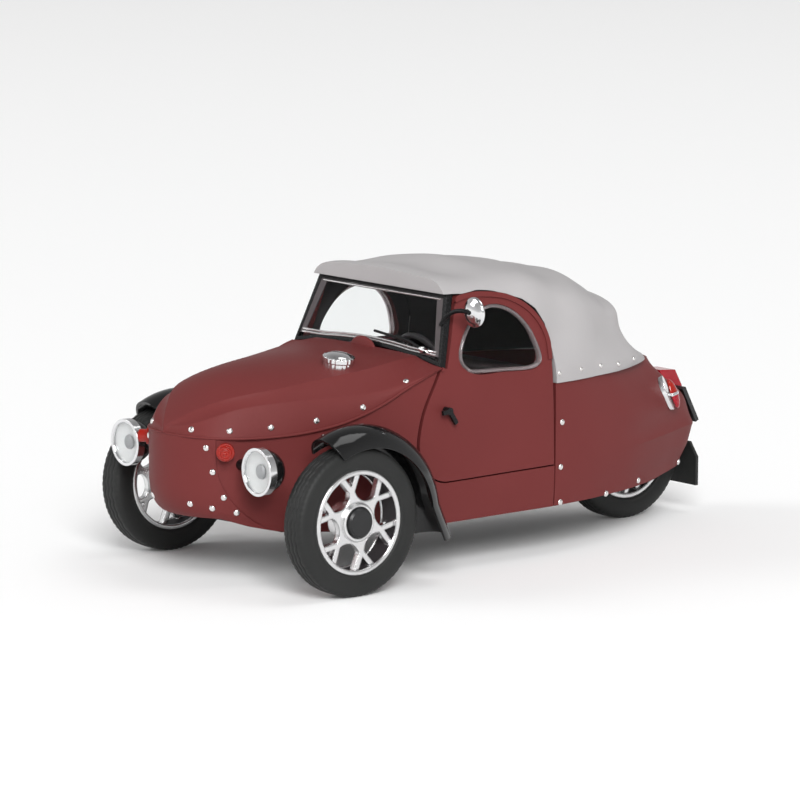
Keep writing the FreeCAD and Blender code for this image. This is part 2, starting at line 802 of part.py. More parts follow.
def build_soft_top():
    """Moulded folding top, standing on the belt line, the doors and the windscreen."""
    wide = body_half_width + cut_overrun
    rows = soft_top_rows(0.0)
    shell = arch_solid(rows).cut(plain_solid(soft_top_rows(top_wall), 2, 1))
    arch = [door_point(p) for p in door_arch_shares]
    front = rows[0][0].y - cut_overrun
    rear = rows[-1][0].y + cut_overrun
    head = screen_point(0, screen_top_z - screen_bottom_z) + screen_normal() * screen_frame_depth
    lip_z = screen_top_z + touch_clearance
    line = [(front, lip_z), (head.y, lip_z)]
    line += [(p.y + panel_gap, p.z + panel_gap) for p in arch[-2::-1]]
    line += [(rear_seam_y + panel_gap / 2, belt_z + touch_clearance)]
    line += [(rear, belt_z + touch_clearance), (rear, 0), (front, 0)]
    under = prism_x(side_outline(line), -wide, wide)
    parts["soft_top"] = largest(shell.cut([under, screen_slot(touch_clearance)]))


def screen_outline(inset):
    """Face of the windscreen, bowed along its foot, smaller by inset all round."""
    rise = screen_top_z - screen_bottom_z
    low_left = screen_point(-screen_bottom_half + inset, inset)
    low_mid = screen_point(0, screen_crown + inset)
    low_right = screen_point(screen_bottom_half - inset, inset)
    top_right = screen_point(screen_top_half - inset, rise - inset)
    top_left = screen_point(-screen_top_half + inset, rise - inset)
    low = Part.Arc(low_left, low_mid, low_right).toShape()
    return Part.Face(Part.Wire([low] + polyline([low_right, top_right, top_left, low_left],
                                                closed=False)))


def build_windscreen():
    """Black frame round a flat clear pane, leaning back."""
    normal = screen_normal()
    outer = screen_outline(0.0).extrude(normal * screen_frame_depth)
    inner = screen_outline(screen_frame_bar)
    parts["windscreen_frame"] = outer.cut(inner.extrude(normal * screen_frame_depth))
    pane = screen_outline(screen_frame_bar + touch_clearance)
    pane.translate(normal * ((screen_frame_depth - screen_glass_depth) / 2))
    parts["windscreen_glass"] = pane.extrude(normal * screen_glass_depth)


def build_seat():
    """Bench seat: a squab and a back in one moulding with rounded edges."""
    seat_z = floor_z + floor_depth
    back_y = seat_front_y + seat_depth
    half = seat_half_width - tub_wall
    squab = box(-half, half, seat_front_y, back_y, seat_z, seat_z + seat_height)
    back = box(-half, half, back_y - seat_back_depth, back_y, seat_z,
               seat_z + seat_height + seat_back_height)
    seat = squab.fuse(back).removeSplitter()
    rounding = [e for e in seat.Edges if abs(e.tangentAt(e.FirstParameter).x) > 0.99
                and e.CenterOfMass.z > seat_z + touch_clearance]
    parts["seat"] = seat.makeFillet(seat_back_depth * seat_rounding_share, rounding)


def build_interior():
    """Floor tub, dashboard with its hump, and steering wheel."""
    outer = box(-tub_half_width, tub_half_width, tub_front_y, tub_rear_y, floor_z,
                floor_z + tub_height)
    inner = box(-tub_half_width + tub_wall, tub_half_width - tub_wall, tub_front_y + tub_wall,
                tub_rear_y - tub_wall, floor_z + floor_depth, floor_z + tub_height + cut_overrun)
    parts["interior_tub"] = outer.cut(inner)
    dash_y = screen_bottom_y + screen_frame_depth
    dash_top = screen_bottom_z - touch_clearance
    dash = box(-dash_half_width, dash_half_width, dash_y, dash_y + dash_depth,
               dash_top - dash_height, dash_top)
    hump_z = dash_top - dash_hump_radius / 3
    hump = rod(Vector(0, dash_y + dash_depth / 3, hump_z),
               Vector(0, dash_y + dash_depth, hump_z), dash_hump_radius)
    parts["dashboard"] = dash.fuse(hump).removeSplitter()
    across = Vector(1, 0, 0)
    lean = Vector(0, 1, wheel_lean_share)
    lean.normalize()
    centre = Vector(steering_x, dash_y + dash_depth + 2 * steering_column_radius,
                    dash_top - wheel_rim_radius / 3)
    corners = []
    for i in range(wheel_rim_side_count):
        angle = 2 * math.pi * i / wheel_rim_side_count
        corners.append(centre + across * (wheel_rim_radius + wheel_rim_section * math.cos(angle))
                       + lean * wheel_rim_section * math.sin(angle))
    rim = Part.Face(Part.makePolygon(corners + corners[:1])).revolve(centre, lean, 360)
    column = rod(centre - lean * dash_depth, centre + lean * wheel_rim_section,
                 steering_column_radius)
    spokes = rod(centre - across * wheel_rim_radius, centre + across * wheel_rim_radius,
                 wheel_rim_section / 2)
    parts["steering_wheel"] = largest(rim.fuse([column, spokes]).cut(parts["dashboard"]))


def build_base():
    """Base plate inside the body's lower edge, with two screw plinths and the wheel well."""
    low_line = [(place_y(share), height * overall_height) for share, height in base_shares]
    high_line = [(y, z + base_depth) for y, z in low_line[::-1]]
    slab = prism_x(side_outline(low_line + high_line), -body_half_width, body_half_width)
    plate = slab.common(hull_core(body_wall + base_clearance))
    for y in (front_axle_y + plinth_setback, front_axle_y + plinth_setback + plinth_spacing):
        plinth = Part.makeCylinder(plinth_radius, plinth_depth, Vector(0, y, base_z))
        hole = Part.makeCylinder(plinth_hole_radius, plinth_depth, Vector(0, y, base_z))
        plate = plate.fuse(plinth).cut(hole)
    clear = box(-well_half_width, well_half_width, rear_axle_y - well_radius,
                rear_axle_y + well_radius, 0, overall_height)
    parts["base_plate"] = largest(plate.cut([well(), clear]))


def wheel_point(radius, turn):
    """Point of the wheel's plane at a radius and an angle in degrees."""
    angle = math.radians(turn)
    return Vector(0, radius * math.cos(angle), radius * math.sin(angle))


def spoke_holes(middle):
    """Faces of the large hole after a spoke and of the small eye at the spoke's fork."""
    pitch = 360 / spoke_count
    edge = rim_radius - rim_wall
    knee_share, knee_turn_share = hole_knee_shares
    knees = [wheel_point(rim_radius * knee_share, middle + pitch * t)
             for t in (knee_turn_share, 1 - knee_turn_share)]
    floor = wheel_point(rim_radius * hole_floor_share, middle + pitch / 2)
    corners = [wheel_point(edge, middle + pitch * t)
               for t in (hole_corner_share, 1 - hole_corner_share)]
    top = wheel_point(edge, middle + pitch / 2)
    large = [Part.Arc(knees[0], floor, knees[1]).toShape(), Part.makeLine(knees[1], corners[1]),
             Part.Arc(corners[1], top, corners[0]).toShape(),
             Part.makeLine(corners[0], knees[0])]
    root = wheel_point(rim_radius * eye_root_share, middle)
    ends = [wheel_point(edge, middle + pitch * t) for t in (eye_corner_share, -eye_corner_share)]
    small = [Part.makeLine(root, ends[0]),
             Part.Arc(ends[0], wheel_point(edge, middle), ends[1]).toShape(),
             Part.makeLine(ends[1], root)]
    return [closed_face(large), closed_face(small)]


def rim_solid():
    """One-piece wheel: barrel, hub and a recessed face of forked spokes."""
    across = Vector(1, 0, 0)
    half = rim_width / 2
    back = Vector(-half, 0, 0)
    barrel = Part.makeCylinder(rim_radius, rim_width, back, across)
    barrel = barrel.cut(Part.makeCylinder(rim_radius - rim_wall, rim_width, back, across))
    face_start = Vector(half - spoke_recess - spoke_depth, 0, 0)
    disc = Part.makeCylinder(rim_radius - rim_wall / 2, spoke_depth, face_start, across)
    holes = []
    for i in range(spoke_count):
        for face in spoke_holes(spoke_phase_angle + 360 * i / spoke_count):
            face.translate(face_start)
            holes.append(face.extrude(across * spoke_depth))
    hub = Part.makeCylinder(hub_radius, rim_width, back, across)
    bore = Part.makeCylinder(axle_radius + axle_clearance, rim_width, back, across)
    return barrel.fuse([disc.cut(holes), hub]).cut(bore).removeSplitter()


def tyre_solid():
    """Ring with a flat tread and bevelled shoulders."""
    half = tyre_width / 2
    bead = rim_width / 2
    low = rim_radius
    high = wheel_radius
    side = [(bead, low), (half, low + tyre_shoulder), (half, high - tyre_shoulder),
            (half - tyre_shoulder, high)]
    points = [Vector(x, r, 0) for x, r in side] + [Vector(-x, r, 0) for x, r in side[::-1]]
    face = Part.Face(Part.makePolygon(points + points[:1]))
    return face.revolve(Vector(0, 0, 0), Vector(1, 0, 0), 360)


def hub_cap_solid(face_x):
    """Low bevelled cap over the hub's outer face."""
    across = Vector(1, 0, 0)
    disc = Part.makeCylinder(hub_cap_radius, hub_cap_height, Vector(face_x, 0, 0), across)
    top = Part.makeCone(hub_cap_radius, hub_cap_radius - hub_cap_bevel, hub_cap_bevel,
                        Vector(face_x + hub_cap_height, 0, 0), across)
    return disc.fuse(top)


def wheel_parts(name, x, side):
    """Rim, tyre and hub cap of one wheel on its axle, side +1 or -1 for its outer face."""
    axle_y = rear_axle_y if name == "rear" else front_axle_y
    pieces = {"rim": rim_solid(), "tyre": tyre_solid()}
    if name != "rear":
        pieces["hub_cap"] = hub_cap_solid(rim_width / 2)
    for label, shape in pieces.items():
        moved = shape.copy() if side > 0 else mirrored(shape)
        moved.translate(Vector(x, axle_y, axle_z))
        parts[f"{label}_{name}"] = moved


def build_running_gear():
    """Front axle through the body, rear axle in its fork, and the three wheels."""
    wheel_parts("front_left", front_wheel_x, 1)
    wheel_parts("front_right", -front_wheel_x, -1)
    wheel_parts("rear", 0, 1)
    end = front_wheel_x + rim_width / 2
    parts["front_axle"] = rod(Vector(-end, front_axle_y, axle_z),
                              Vector(end, front_axle_y, axle_z), axle_radius)
    inner = tyre_width / 2 + fork_clearance
    outer = well_half_width - panel_gap
    start = Vector(-outer, rear_axle_y, axle_z)
    end = Vector(outer, rear_axle_y, axle_z)
    parts["rear_axle"] = rod(start, end, axle_radius)
    arm_rise = base_z + base_depth + touch_clearance
    arm_front = rear_axle_y - well_radius - 3 * axle_radius
    outline = [(arm_front, arm_rise), (rear_axle_y, axle_z - 2 * axle_radius),
               (rear_axle_y + 2 * axle_radius, axle_z),
               (rear_axle_y, axle_z + 2 * axle_radius), (arm_front, arm_rise + axle_z / 3)]
    arm = prism_x(side_outline(outline), inner, outer)
    bridge = box(-outer, outer, arm_front - 2 * axle_radius, arm_front, arm_rise,
                 arm_rise + axle_z / 3)
    fork = bridge.fuse([arm, mirrored(arm)]).cut(rod(start, end, axle_radius))
    parts["rear_fork"] = fork.removeSplitter()


def guard_section():
    """Thin crowned section of a mudguard above its centre."""
    def arch(half_width, crown):
        return [Vector(guard_centre_x - half_width, guard_edge_radius, 0),
                Vector(guard_centre_x, guard_edge_radius + crown, 0),
                Vector(guard_centre_x + half_width, guard_edge_radius, 0)]
    outer = arch(guard_half_width, guard_crown)
    inner = arch(guard_half_width - guard_wall, guard_crown - guard_wall)
    edges = [Part.Arc(*outer).toShape(), Part.makeLine(outer[2], inner[2]),
             Part.Arc(*inner).toShape(), Part.makeLine(inner[0], outer[0])]
    return closed_face(edges)


def build_mudguards(hull, bonnet):
    """Crowned guard arched over a front wheel, with a straight flared tail and one stay."""
    across = Vector(1, 0, 0)
    section = guard_section()
    section.rotate(Vector(0, 0, 0), across, guard_rear_angle)
    sweep = section.revolve(Vector(0, 0, 0), across, guard_front_angle - guard_rear_angle)
    angle = math.radians(guard_tail_angle)
    down = Vector(0, math.sin(angle), -math.cos(angle))
    guard = sweep.fuse(section.extrude(down * guard_tail_length)).removeSplitter()
    centre = Vector(0, front_axle_y + guard_setback, axle_z - guard_drop)
    guard.translate(centre)
    stay_z = centre.z + guard_edge_radius
    stay = rod(Vector(body_half_width / 2, centre.y, stay_z),
               Vector(guard_centre_x - guard_half_width + guard_wall, centre.y, stay_z),
               guard_stay_radius)
    guard = largest(guard.fuse(stay).cut([hull, bonnet]))
    parts["mudguard_left"] = guard
    parts["mudguard_right"] = mirrored(guard)


def build_headlamps(hull):
    """Bezel with its clip and bar, bowl behind it and lens in it, for each headlamp."""
    back = Vector(0, 1, 0)
    front = spot(lamp_place_shares)
    seam = front + back * lamp_bezel_depth
    rim = Part.makeCylinder(lamp_radius, lamp_bezel_depth, front, back)
    rim = rim.cut(Part.makeCylinder(lamp_radius - lamp_bezel, lamp_bezel_depth, front, back))
    clip = box(front.x - lamp_clip_width / 2, front.x + lamp_clip_width / 2, front.y, seam.y,
               front.z + lamp_radius - touch_clearance, front.z + lamp_radius + lamp_clip_height)
    parts["headlamp_left"] = rim.fuse(clip).removeSplitter()
    deep = Vector(0, lamp_bowl_depth, 0)
    middle = seam + Vector(lamp_bowl_radius * math.sqrt(0.5), lamp_bowl_depth * math.sqrt(0.5), 0)
    outline = [Part.makeLine(seam, seam + Vector(lamp_bowl_radius, 0, 0)),
               Part.Arc(seam + Vector(lamp_bowl_radius, 0, 0), middle, seam + deep).toShape(),
               Part.makeLine(seam + deep, seam)]
    bowl = closed_face(outline).revolve(seam, back, 360)
    bar_y = seam.y + lamp_bowl_depth / 3
    bar = rod(Vector(front.x, bar_y, front.z), Vector(body_half_width / 2, bar_y, front.z),
              lamp_bar_radius)
    parts["headlamp_bowls"] = both_sides(largest(bowl.fuse(bar).cut(hull)))
    lens_y = seam.y - lamp_lens_depth
    parts["headlamp_lens_left"] = Part.makeCylinder(lamp_radius - lamp_bezel, lamp_lens_depth,
                                                    Vector(front.x, lens_y, front.z), back)
    for name in ("headlamp", "headlamp_lens"):
        parts[f"{name}_right"] = mirrored(parts[f"{name}_left"])


def oval_prism(centre, aim, half_length, half_width, depth):
    """Oval standing along its length square to a direction and carried along it."""
    oval = Part.Ellipse(Vector(0, 0, 0), half_length, half_width)
    face = Part.Face(Part.Wire([oval.toShape()]))
    side = Vector(0, 0, 1).cross(aim)
    face.Placement = FreeCAD.Placement(centre, FreeCAD.Rotation(aim.cross(side), side, aim, "ZXY"))
    return face.extrude(aim * depth)


def build_small_lamps(hull):
    """Stepped front indicators, two-part tail lamps on oval bases, and the stop lamp."""
    angle = math.radians(indicator_angle)
    aim = Vector(math.cos(angle), -math.sin(angle), 0)
    root = spot(indicator_place_shares)
    turn = rod(root - aim * indicator_radius, root + aim * indicator_step, indicator_radius)
    turn = turn.fuse(rod(root, root + aim * indicator_height, indicator_waist))
    parts["front_indicators"] = both_sides(max(turn.cut(hull).Solids,
                                               key=lambda s: s.CenterOfMass.x))

    angle = math.radians(tail_lamp_angle)
    tilt = math.radians(tail_lamp_tilt_angle)
    aim = Vector(math.cos(angle) * math.cos(tilt), math.sin(angle) * math.cos(tilt), math.sin(tilt))
    centre = spot(tail_lamp_place_shares)
    inside = centre - aim * tail_lamp_half_length
    reach = tail_lamp_half_length + tail_lamp_base_height
    base = oval_prism(inside, aim, tail_lamp_half_length, tail_lamp_half_width, reach)
    lens = oval_prism(inside, aim, tail_lamp_half_length - tail_lamp_edge,
                      tail_lamp_half_width - tail_lamp_edge, reach + tail_lamp_height)
    wide = 2 * body_half_width
    band = box(-wide, wide, centre.y - wide, centre.y + wide, centre.z - tail_lamp_band,
               centre.z + tail_lamp_band)
    base = base.fuse(lens.common(band)).cut(hull)
    lens = lens.cut([base, band, hull])
    lens = sorted(lens.Solids, key=lambda s: s.Volume)[-2:]
    parts["tail_lamp_bases"] = both_sides(max(base.Solids, key=lambda s: s.CenterOfMass.y))
    parts["tail_lamp_lenses"] = Part.Compound(lens + [mirrored(s) for s in lens])

    start = spot(stop_lamp_place_shares)
    wedge = [(start.y + a * stop_lamp_length, start.z + b * stop_lamp_height)
             for a, b in stop_lamp_shares]
    stop = prism_x(side_outline(wedge), -stop_lamp_width / 2, stop_lamp_width / 2)
    parts["stop_lamp"] = largest(stop.cut(hull))


def build_tail_trim(hull):
    """Blank number plate on the tail and the mud flap behind the rear wheel."""
    plate = box(-plate_width / 2, plate_width / 2, 0, plate_depth, 0, plate_height)
    plate.rotate(Vector(0, 0, 0), Vector(1, 0, 0), plate_angle)
    plate.translate(spot(plate_place_shares))
    plate = plate.cut([hull, parts["stop_lamp"], parts["tail_lamp_bases"]])
    parts["number_plate"] = largest(plate)
    rear = overall_length / 2
    low = flap_bottom_share * overall_height
    top = low + flap_height
    side = low + flap_side_height
    corners = [(-flap_half_width, low), (flap_half_width, low), (flap_half_width, side),
               (flap_half_width - flap_shoulder, top), (flap_shoulder - flap_half_width, top),
               (-flap_half_width, side)]
    flap = closed_face(polyline([Vector(x, rear - flap_depth, z) for x, z in corners]))
    flap = flap.extrude(Vector(0, flap_depth, 0))
    hanger = box(flap_shoulder - flap_half_width, flap_half_width - flap_shoulder,
                 rear - flap_hanger_length, rear, top - flap_depth, top)
    flap = flap.fuse(hanger).removeSplitter().cut([hull, well(), parts["number_plate"]])
    parts["mud_flap"] = largest(flap)


def build_mirror():
    """Dished mirror head on a bowed arm from the windscreen frame."""
    centre = spot(mirror_place_shares)
    aim = Vector(0, 1, 0)
    neck = mirror_radius / 3
    cone = Part.makeCone(neck, mirror_radius, mirror_depth - mirror_rim,
                         centre - aim * (mirror_depth - mirror_rim), aim)
    head = cone.fuse(Part.makeCylinder(mirror_radius, mirror_rim, centre, aim)).removeSplitter()
    parts["mirror_head"] = head
    foot = screen_point(screen_top_half, screen_top_z - screen_bottom_z - 2 * mirror_radius)
    foot.x += screen_frame_bar / 2
    end = centre - aim * (mirror_depth - mirror_rim)
    crest = (foot + end) / 2 + Vector(0, 0, mirror_arm_rise)
    path = Part.Arc(foot, crest, end).toShape()
    start_aim = path.tangentAt(path.FirstParameter)
    circle = Part.Wire([Part.Circle(foot, start_aim, mirror_arm_radius).toShape()])
    arm = Part.Wire([path]).makePipeShell([circle], True, True)
    arm = arm.cut([head, parts["windscreen_frame"], parts["windscreen_glass"],
                   parts["door_left"]])
    parts["mirror_arm"] = largest(arm)


def build_door_handles(hull):
    """Lever with a short cross arm on a round boss, on each door."""
    across = Vector(1, 0, 0)
    pivot = spot(handle_place_shares)
    low = pivot.x + handle_stand
    boss = rod(pivot - across * body_wall, pivot + across * (handle_stand + handle_depth),
               handle_boss_radius)
    lever = box(low, low + handle_depth, pivot.y, pivot.y + handle_length,
                pivot.z - handle_width / 2, pivot.z + handle_width / 2)
    cross = box(low, low + handle_depth, pivot.y - handle_cross_length, pivot.y,
                pivot.z - handle_width / 2, pivot.z + handle_width / 2)
    lever.rotate(pivot, across, -handle_lever_angle)
    cross.rotate(pivot, across, handle_cross_angle)
    handle = boss.fuse([lever, cross]).cut(hull)
    parts["door_handles"] = both_sides(max(handle.Solids, key=lambda s: s.CenterOfMass.x))


def build_fuel_cap(bonnet):
    """Scalloped cap with a domed top on a short neck, standing on the bonnet."""
    up = Vector(0, 0, 1)
    seat = spot(cap_place_shares)
    neck = Part.makeCylinder(cap_neck_radius, cap_neck_height + body_wall, seat - up * body_wall)
    edge = Part.makeCylinder(cap_radius, cap_edge, seat + up * cap_neck_height)
    scallops = []
    for i in range(cap_scallop_count):
        angle = 2 * math.pi * i / cap_scallop_count
        place = Vector(math.cos(angle), math.sin(angle), 0) * cap_radius
        scallops.append(Part.makeCylinder(cap_scallop_radius, cap_edge,
                                          seat + up * cap_neck_height + place))
    dome = Part.makeCone(cap_neck_radius, cap_neck_radius / 3, cap_dome_height,
                         seat + up * (cap_neck_height + cap_edge))
    cap = neck.fuse([edge.cut(scallops), dome])
    cap.rotate(seat, Vector(0, 1, 0), cap_angle)
    parts["fuel_cap"] = max(cap.cut(bonnet).Solids, key=lambda s: s.CenterOfMass.z)


def build_wiper():
    """Spindle, arm and blade lying on the windscreen's left half."""
    normal = screen_normal()
    rise = Vector(0, screen_lean, screen_top_z - screen_bottom_z)
    rise.normalize()
    across = Vector(1, 0, 0)
    lift = normal * (2 * wiper_section)
    pivot = screen_point(wiper_pivot_x, screen_frame_bar) - lift
    end = pivot - across * wiper_length + rise * wiper_spindle_radius
    spindle = rod(pivot - lift, pivot + lift, wiper_spindle_radius)
    arm = rod(pivot, end, wiper_section)
    blade_start = end - across * (wiper_blade_length / 3)
    blade = rod(blade_start, blade_start + across * wiper_blade_length, 2 * wiper_section)
    wiper = spindle.fuse([arm, blade])
    wiper = wiper.cut([parts["windscreen_frame"], parts["windscreen_glass"], parts["bonnet"]])
    parts["wiper"] = largest(wiper)


hull_form, bonnet_form = build_body()
build_soft_top()
build_windscreen()
build_seat()
build_interior()
build_base()
build_running_gear()
build_mudguards(hull_form, bonnet_form)
build_headlamps(hull_form)
build_small_lamps(hull_form)
build_tail_trim(hull_form)
build_mirror()
build_door_handles(hull_form)
build_fuel_cap(bonnet_form)
build_wiper()

os.makedirs("parts", exist_ok=True)
for name, shape in parts.items():
    shape.exportStep(f"parts/{name}.step")
print(len(parts), "parts")
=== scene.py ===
import math

import bmesh
import bpy
import numpy as np
from mathutils import Matrix, Vector
from mathutils.bvhtree import BVHTree


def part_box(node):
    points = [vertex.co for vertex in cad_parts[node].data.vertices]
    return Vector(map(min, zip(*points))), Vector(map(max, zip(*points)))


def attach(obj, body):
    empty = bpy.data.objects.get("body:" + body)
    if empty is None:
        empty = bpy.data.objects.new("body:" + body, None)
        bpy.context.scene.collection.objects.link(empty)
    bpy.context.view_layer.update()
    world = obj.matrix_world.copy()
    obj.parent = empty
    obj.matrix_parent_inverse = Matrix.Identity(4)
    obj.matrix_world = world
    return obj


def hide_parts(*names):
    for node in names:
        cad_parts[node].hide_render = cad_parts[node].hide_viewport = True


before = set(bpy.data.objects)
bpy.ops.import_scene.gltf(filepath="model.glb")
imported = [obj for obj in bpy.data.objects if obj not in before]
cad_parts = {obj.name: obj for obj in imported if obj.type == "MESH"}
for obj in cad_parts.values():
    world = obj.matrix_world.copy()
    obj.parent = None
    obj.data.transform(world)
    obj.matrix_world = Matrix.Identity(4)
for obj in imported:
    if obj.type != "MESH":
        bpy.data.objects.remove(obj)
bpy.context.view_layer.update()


# Camera: a long lens well away from the model, off its front left corner and a little above it.
# Its place beside, ahead of and above the front axle was solved from the wheels, axles and body.
MM = 0.001
CAMERA_BESIDE = 330.633 * MM
CAMERA_AHEAD = 250.466 * MM
CAMERA_HEIGHT = 82.974 * MM
CAMERA_AZIMUTH = math.radians(50.983)
CAMERA_ELEVATION = math.radians(9.107)
CAMERA_ROLL = math.radians(0.225)
CAMERA_SENSOR = 36.0
CAMERA_LENS = 200.13
PHOTO_SIZE = 800


def placed(name, data):
    """New object in the scene."""
    piece = bpy.data.objects.new(name, data)
    bpy.context.scene.collection.objects.link(piece)
    return piece


backwards = Vector((math.sin(CAMERA_AZIMUTH) * math.cos(CAMERA_ELEVATION),
                    -math.cos(CAMERA_AZIMUTH) * math.cos(CAMERA_ELEVATION),
                    math.sin(CAMERA_ELEVATION)))
rightwards = Vector((math.cos(CAMERA_AZIMUTH), math.sin(CAMERA_AZIMUTH), 0))
level_axes = Matrix((rightwards, backwards.cross(rightwards), backwards)).transposed()
camera_axes = Matrix.Rotation(CAMERA_ROLL, 3, backwards) @ level_axes
axle_low, axle_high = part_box("front_axle")
camera_place = Vector((CAMERA_BESIDE, (axle_low.y + axle_high.y) / 2 - CAMERA_AHEAD,
                       CAMERA_HEIGHT))
camera_data = bpy.data.cameras.new("camera")
camera_data.sensor_width = CAMERA_SENSOR
camera_data.lens = CAMERA_LENS
camera = placed("camera", camera_data)
camera.matrix_world = Matrix.Translation(camera_place) @ camera_axes.to_4x4()
bpy.context.scene.camera = camera


# Light and floor: a pale sweep under a sky that is grey overhead and shows white at the horizon,
# with a large soft box by the camera, a weak one across and a third overhead. The floor glows a
# little to the camera, more so far away.
SKY_HORIZON = 0.61
SKY_ZENITH = 0.19
SKY_WHITE_UP_TO = 0.05
FLOOR_HALF = 4.0
FLOOR_COLOUR = (0.93, 0.93, 0.93, 1)
FLOOR_GLOW_NEAR = 0.02
FLOOR_GLOW_FAR = 0.14
FLOOR_GLOW_REACH = 1.20
SOFT_BOXES = (
    ("key_box", (1.90, -1.20, 1.45), 1.20, 67.0),
    ("cross_box", (-1.50, -1.90, 1.40), 1.20, 17.0),
    ("top_box", (0.30, 0.50, 1.55), 0.80, 4.4),
)
bpy.context.scene.view_settings.view_transform = "Standard"


def new_node(tree, kind, operation="", **values):
    """New shader node with its operation and the values of its inputs."""
    node = tree.nodes.new("ShaderNode" + kind)
    if operation:
        node.operation = operation
    for socket, value in values.items():
        node.inputs[socket.replace("_", " ")].default_value = value
    return node


def links(tree, *joints):
    """Joins shader nodes: each joint is a node and its output, then a node and its input."""
    for source, output, target, socket in joints:
        tree.links.new(source.outputs[output], target.inputs[socket])


def white_to_view(tree):
    """Factor 1 for rays from the camera, off glossy surfaces and through clear ones."""
    path = new_node(tree, "LightPath")
    first = new_node(tree, "Math", "MAXIMUM")
    second = new_node(tree, "Math", "MAXIMUM")
    links(tree,
          (path, "Is Camera Ray", first, 0),
          (path, "Is Glossy Ray", first, 1),
          (first, 0, second, 0),
          (path, "Is Transmission Ray", second, 1))
    return second


world = bpy.data.worlds.new("sky")
world.use_nodes = True
bpy.context.scene.world = world
sky_tree = world.node_tree
sky = sky_tree.nodes["Background"]
sky.inputs["Color"].default_value = (1, 1, 1, 1)
sky_place = new_node(sky_tree, "TexCoord")
sky_parts = new_node(sky_tree, "SeparateXYZ")
sky_level = new_node(sky_tree, "MapRange", From_Min=SKY_WHITE_UP_TO, To_Min=SKY_HORIZON,
                     To_Max=SKY_ZENITH)
sky_band = new_node(sky_tree, "MapRange", From_Min=SKY_WHITE_UP_TO, From_Max=2 * SKY_WHITE_UP_TO,
                    To_Min=1, To_Max=0)
sky_white = new_node(sky_tree, "Math", "MULTIPLY")
sky_whole = new_node(sky_tree, "Math", "MAXIMUM")
links(sky_tree,
      (sky_place, "Generated", sky_parts, 0),
      (sky_parts, "Z", sky_level, "Value"),
      (sky_parts, "Z", sky_band, "Value"),
      (white_to_view(sky_tree), 0, sky_white, 0),
      (sky_band, "Result", sky_white, 1),
      (sky_level, "Result", sky_whole, 0),
      (sky_white, 0, sky_whole, 1),
      (sky_whole, 0, sky, "Strength"))

floor_mesh = bpy.data.meshes.new("floor")
floor_mesh.from_pydata([(-FLOOR_HALF, -FLOOR_HALF, 0), (FLOOR_HALF, -FLOOR_HALF, 0),
                        (FLOOR_HALF, FLOOR_HALF, 0), (-FLOOR_HALF, FLOOR_HALF, 0)],
                       [], [(0, 1, 2, 3)])
floor = placed("floor", floor_mesh)
floor_paint = bpy.data.materials.new("floor")
floor_paint.use_nodes = True
floor_tree = floor_paint.node_tree
floor_tree.nodes.clear()
matt = new_node(floor_tree, "BsdfDiffuse", Color=FLOOR_COLOUR)
glow = new_node(floor_tree, "Emission")
glow_level = new_node(floor_tree, "Math", "MULTIPLY")
floor_place = new_node(floor_tree, "TexCoord")
away = new_node(floor_tree, "VectorMath", "LENGTH")
distant = new_node(floor_tree, "MapRange", From_Max=FLOOR_GLOW_REACH, To_Min=FLOOR_GLOW_NEAR,
                   To_Max=FLOOR_GLOW_FAR)
both = new_node(floor_tree, "AddShader")
out = new_node(floor_tree, "OutputMaterial")
links(floor_tree,
      (floor_place, "Object", away, 0),
      (away, "Value", distant, "Value"),
      (distant, "Result", glow_level, 1),
      (white_to_view(floor_tree), 0, glow_level, 0),
      (glow_level, 0, glow, "Strength"),
      (matt, 0, both, 0),
      (glow, 0, both, 1),
      (both, 0, out, "Surface"))
floor_mesh.materials.append(floor_paint)

for name, place, size, power in SOFT_BOXES:
    lamp_data = bpy.data.lights.new(name, "AREA")
    lamp_data.shape = "SQUARE"
    lamp_data.size = size
    lamp_data.energy = power
    lamp = placed(name, lamp_data)
    aim = Vector(place).to_track_quat("Z", "Y")
    lamp.matrix_world = Matrix.Translation(place) @ aim.to_matrix().to_4x4()


# Base plate and rear fork: injection moulded in matt black plastic, screwed up into the castings.
# Each cast or moulded piece is a merged copy of its solid, smooth over curves, creased at edges.
BASE_BLACK = ((0.016, 0.016, 0.017), (0.024, 0.024, 0.025))
MERGE = 0.001 * MM
EDGE_ANGLE = math.radians(30)
PATCH_DETAIL = 3
GRAIN_DETAIL = 2
EDGE_SAMPLES = 6


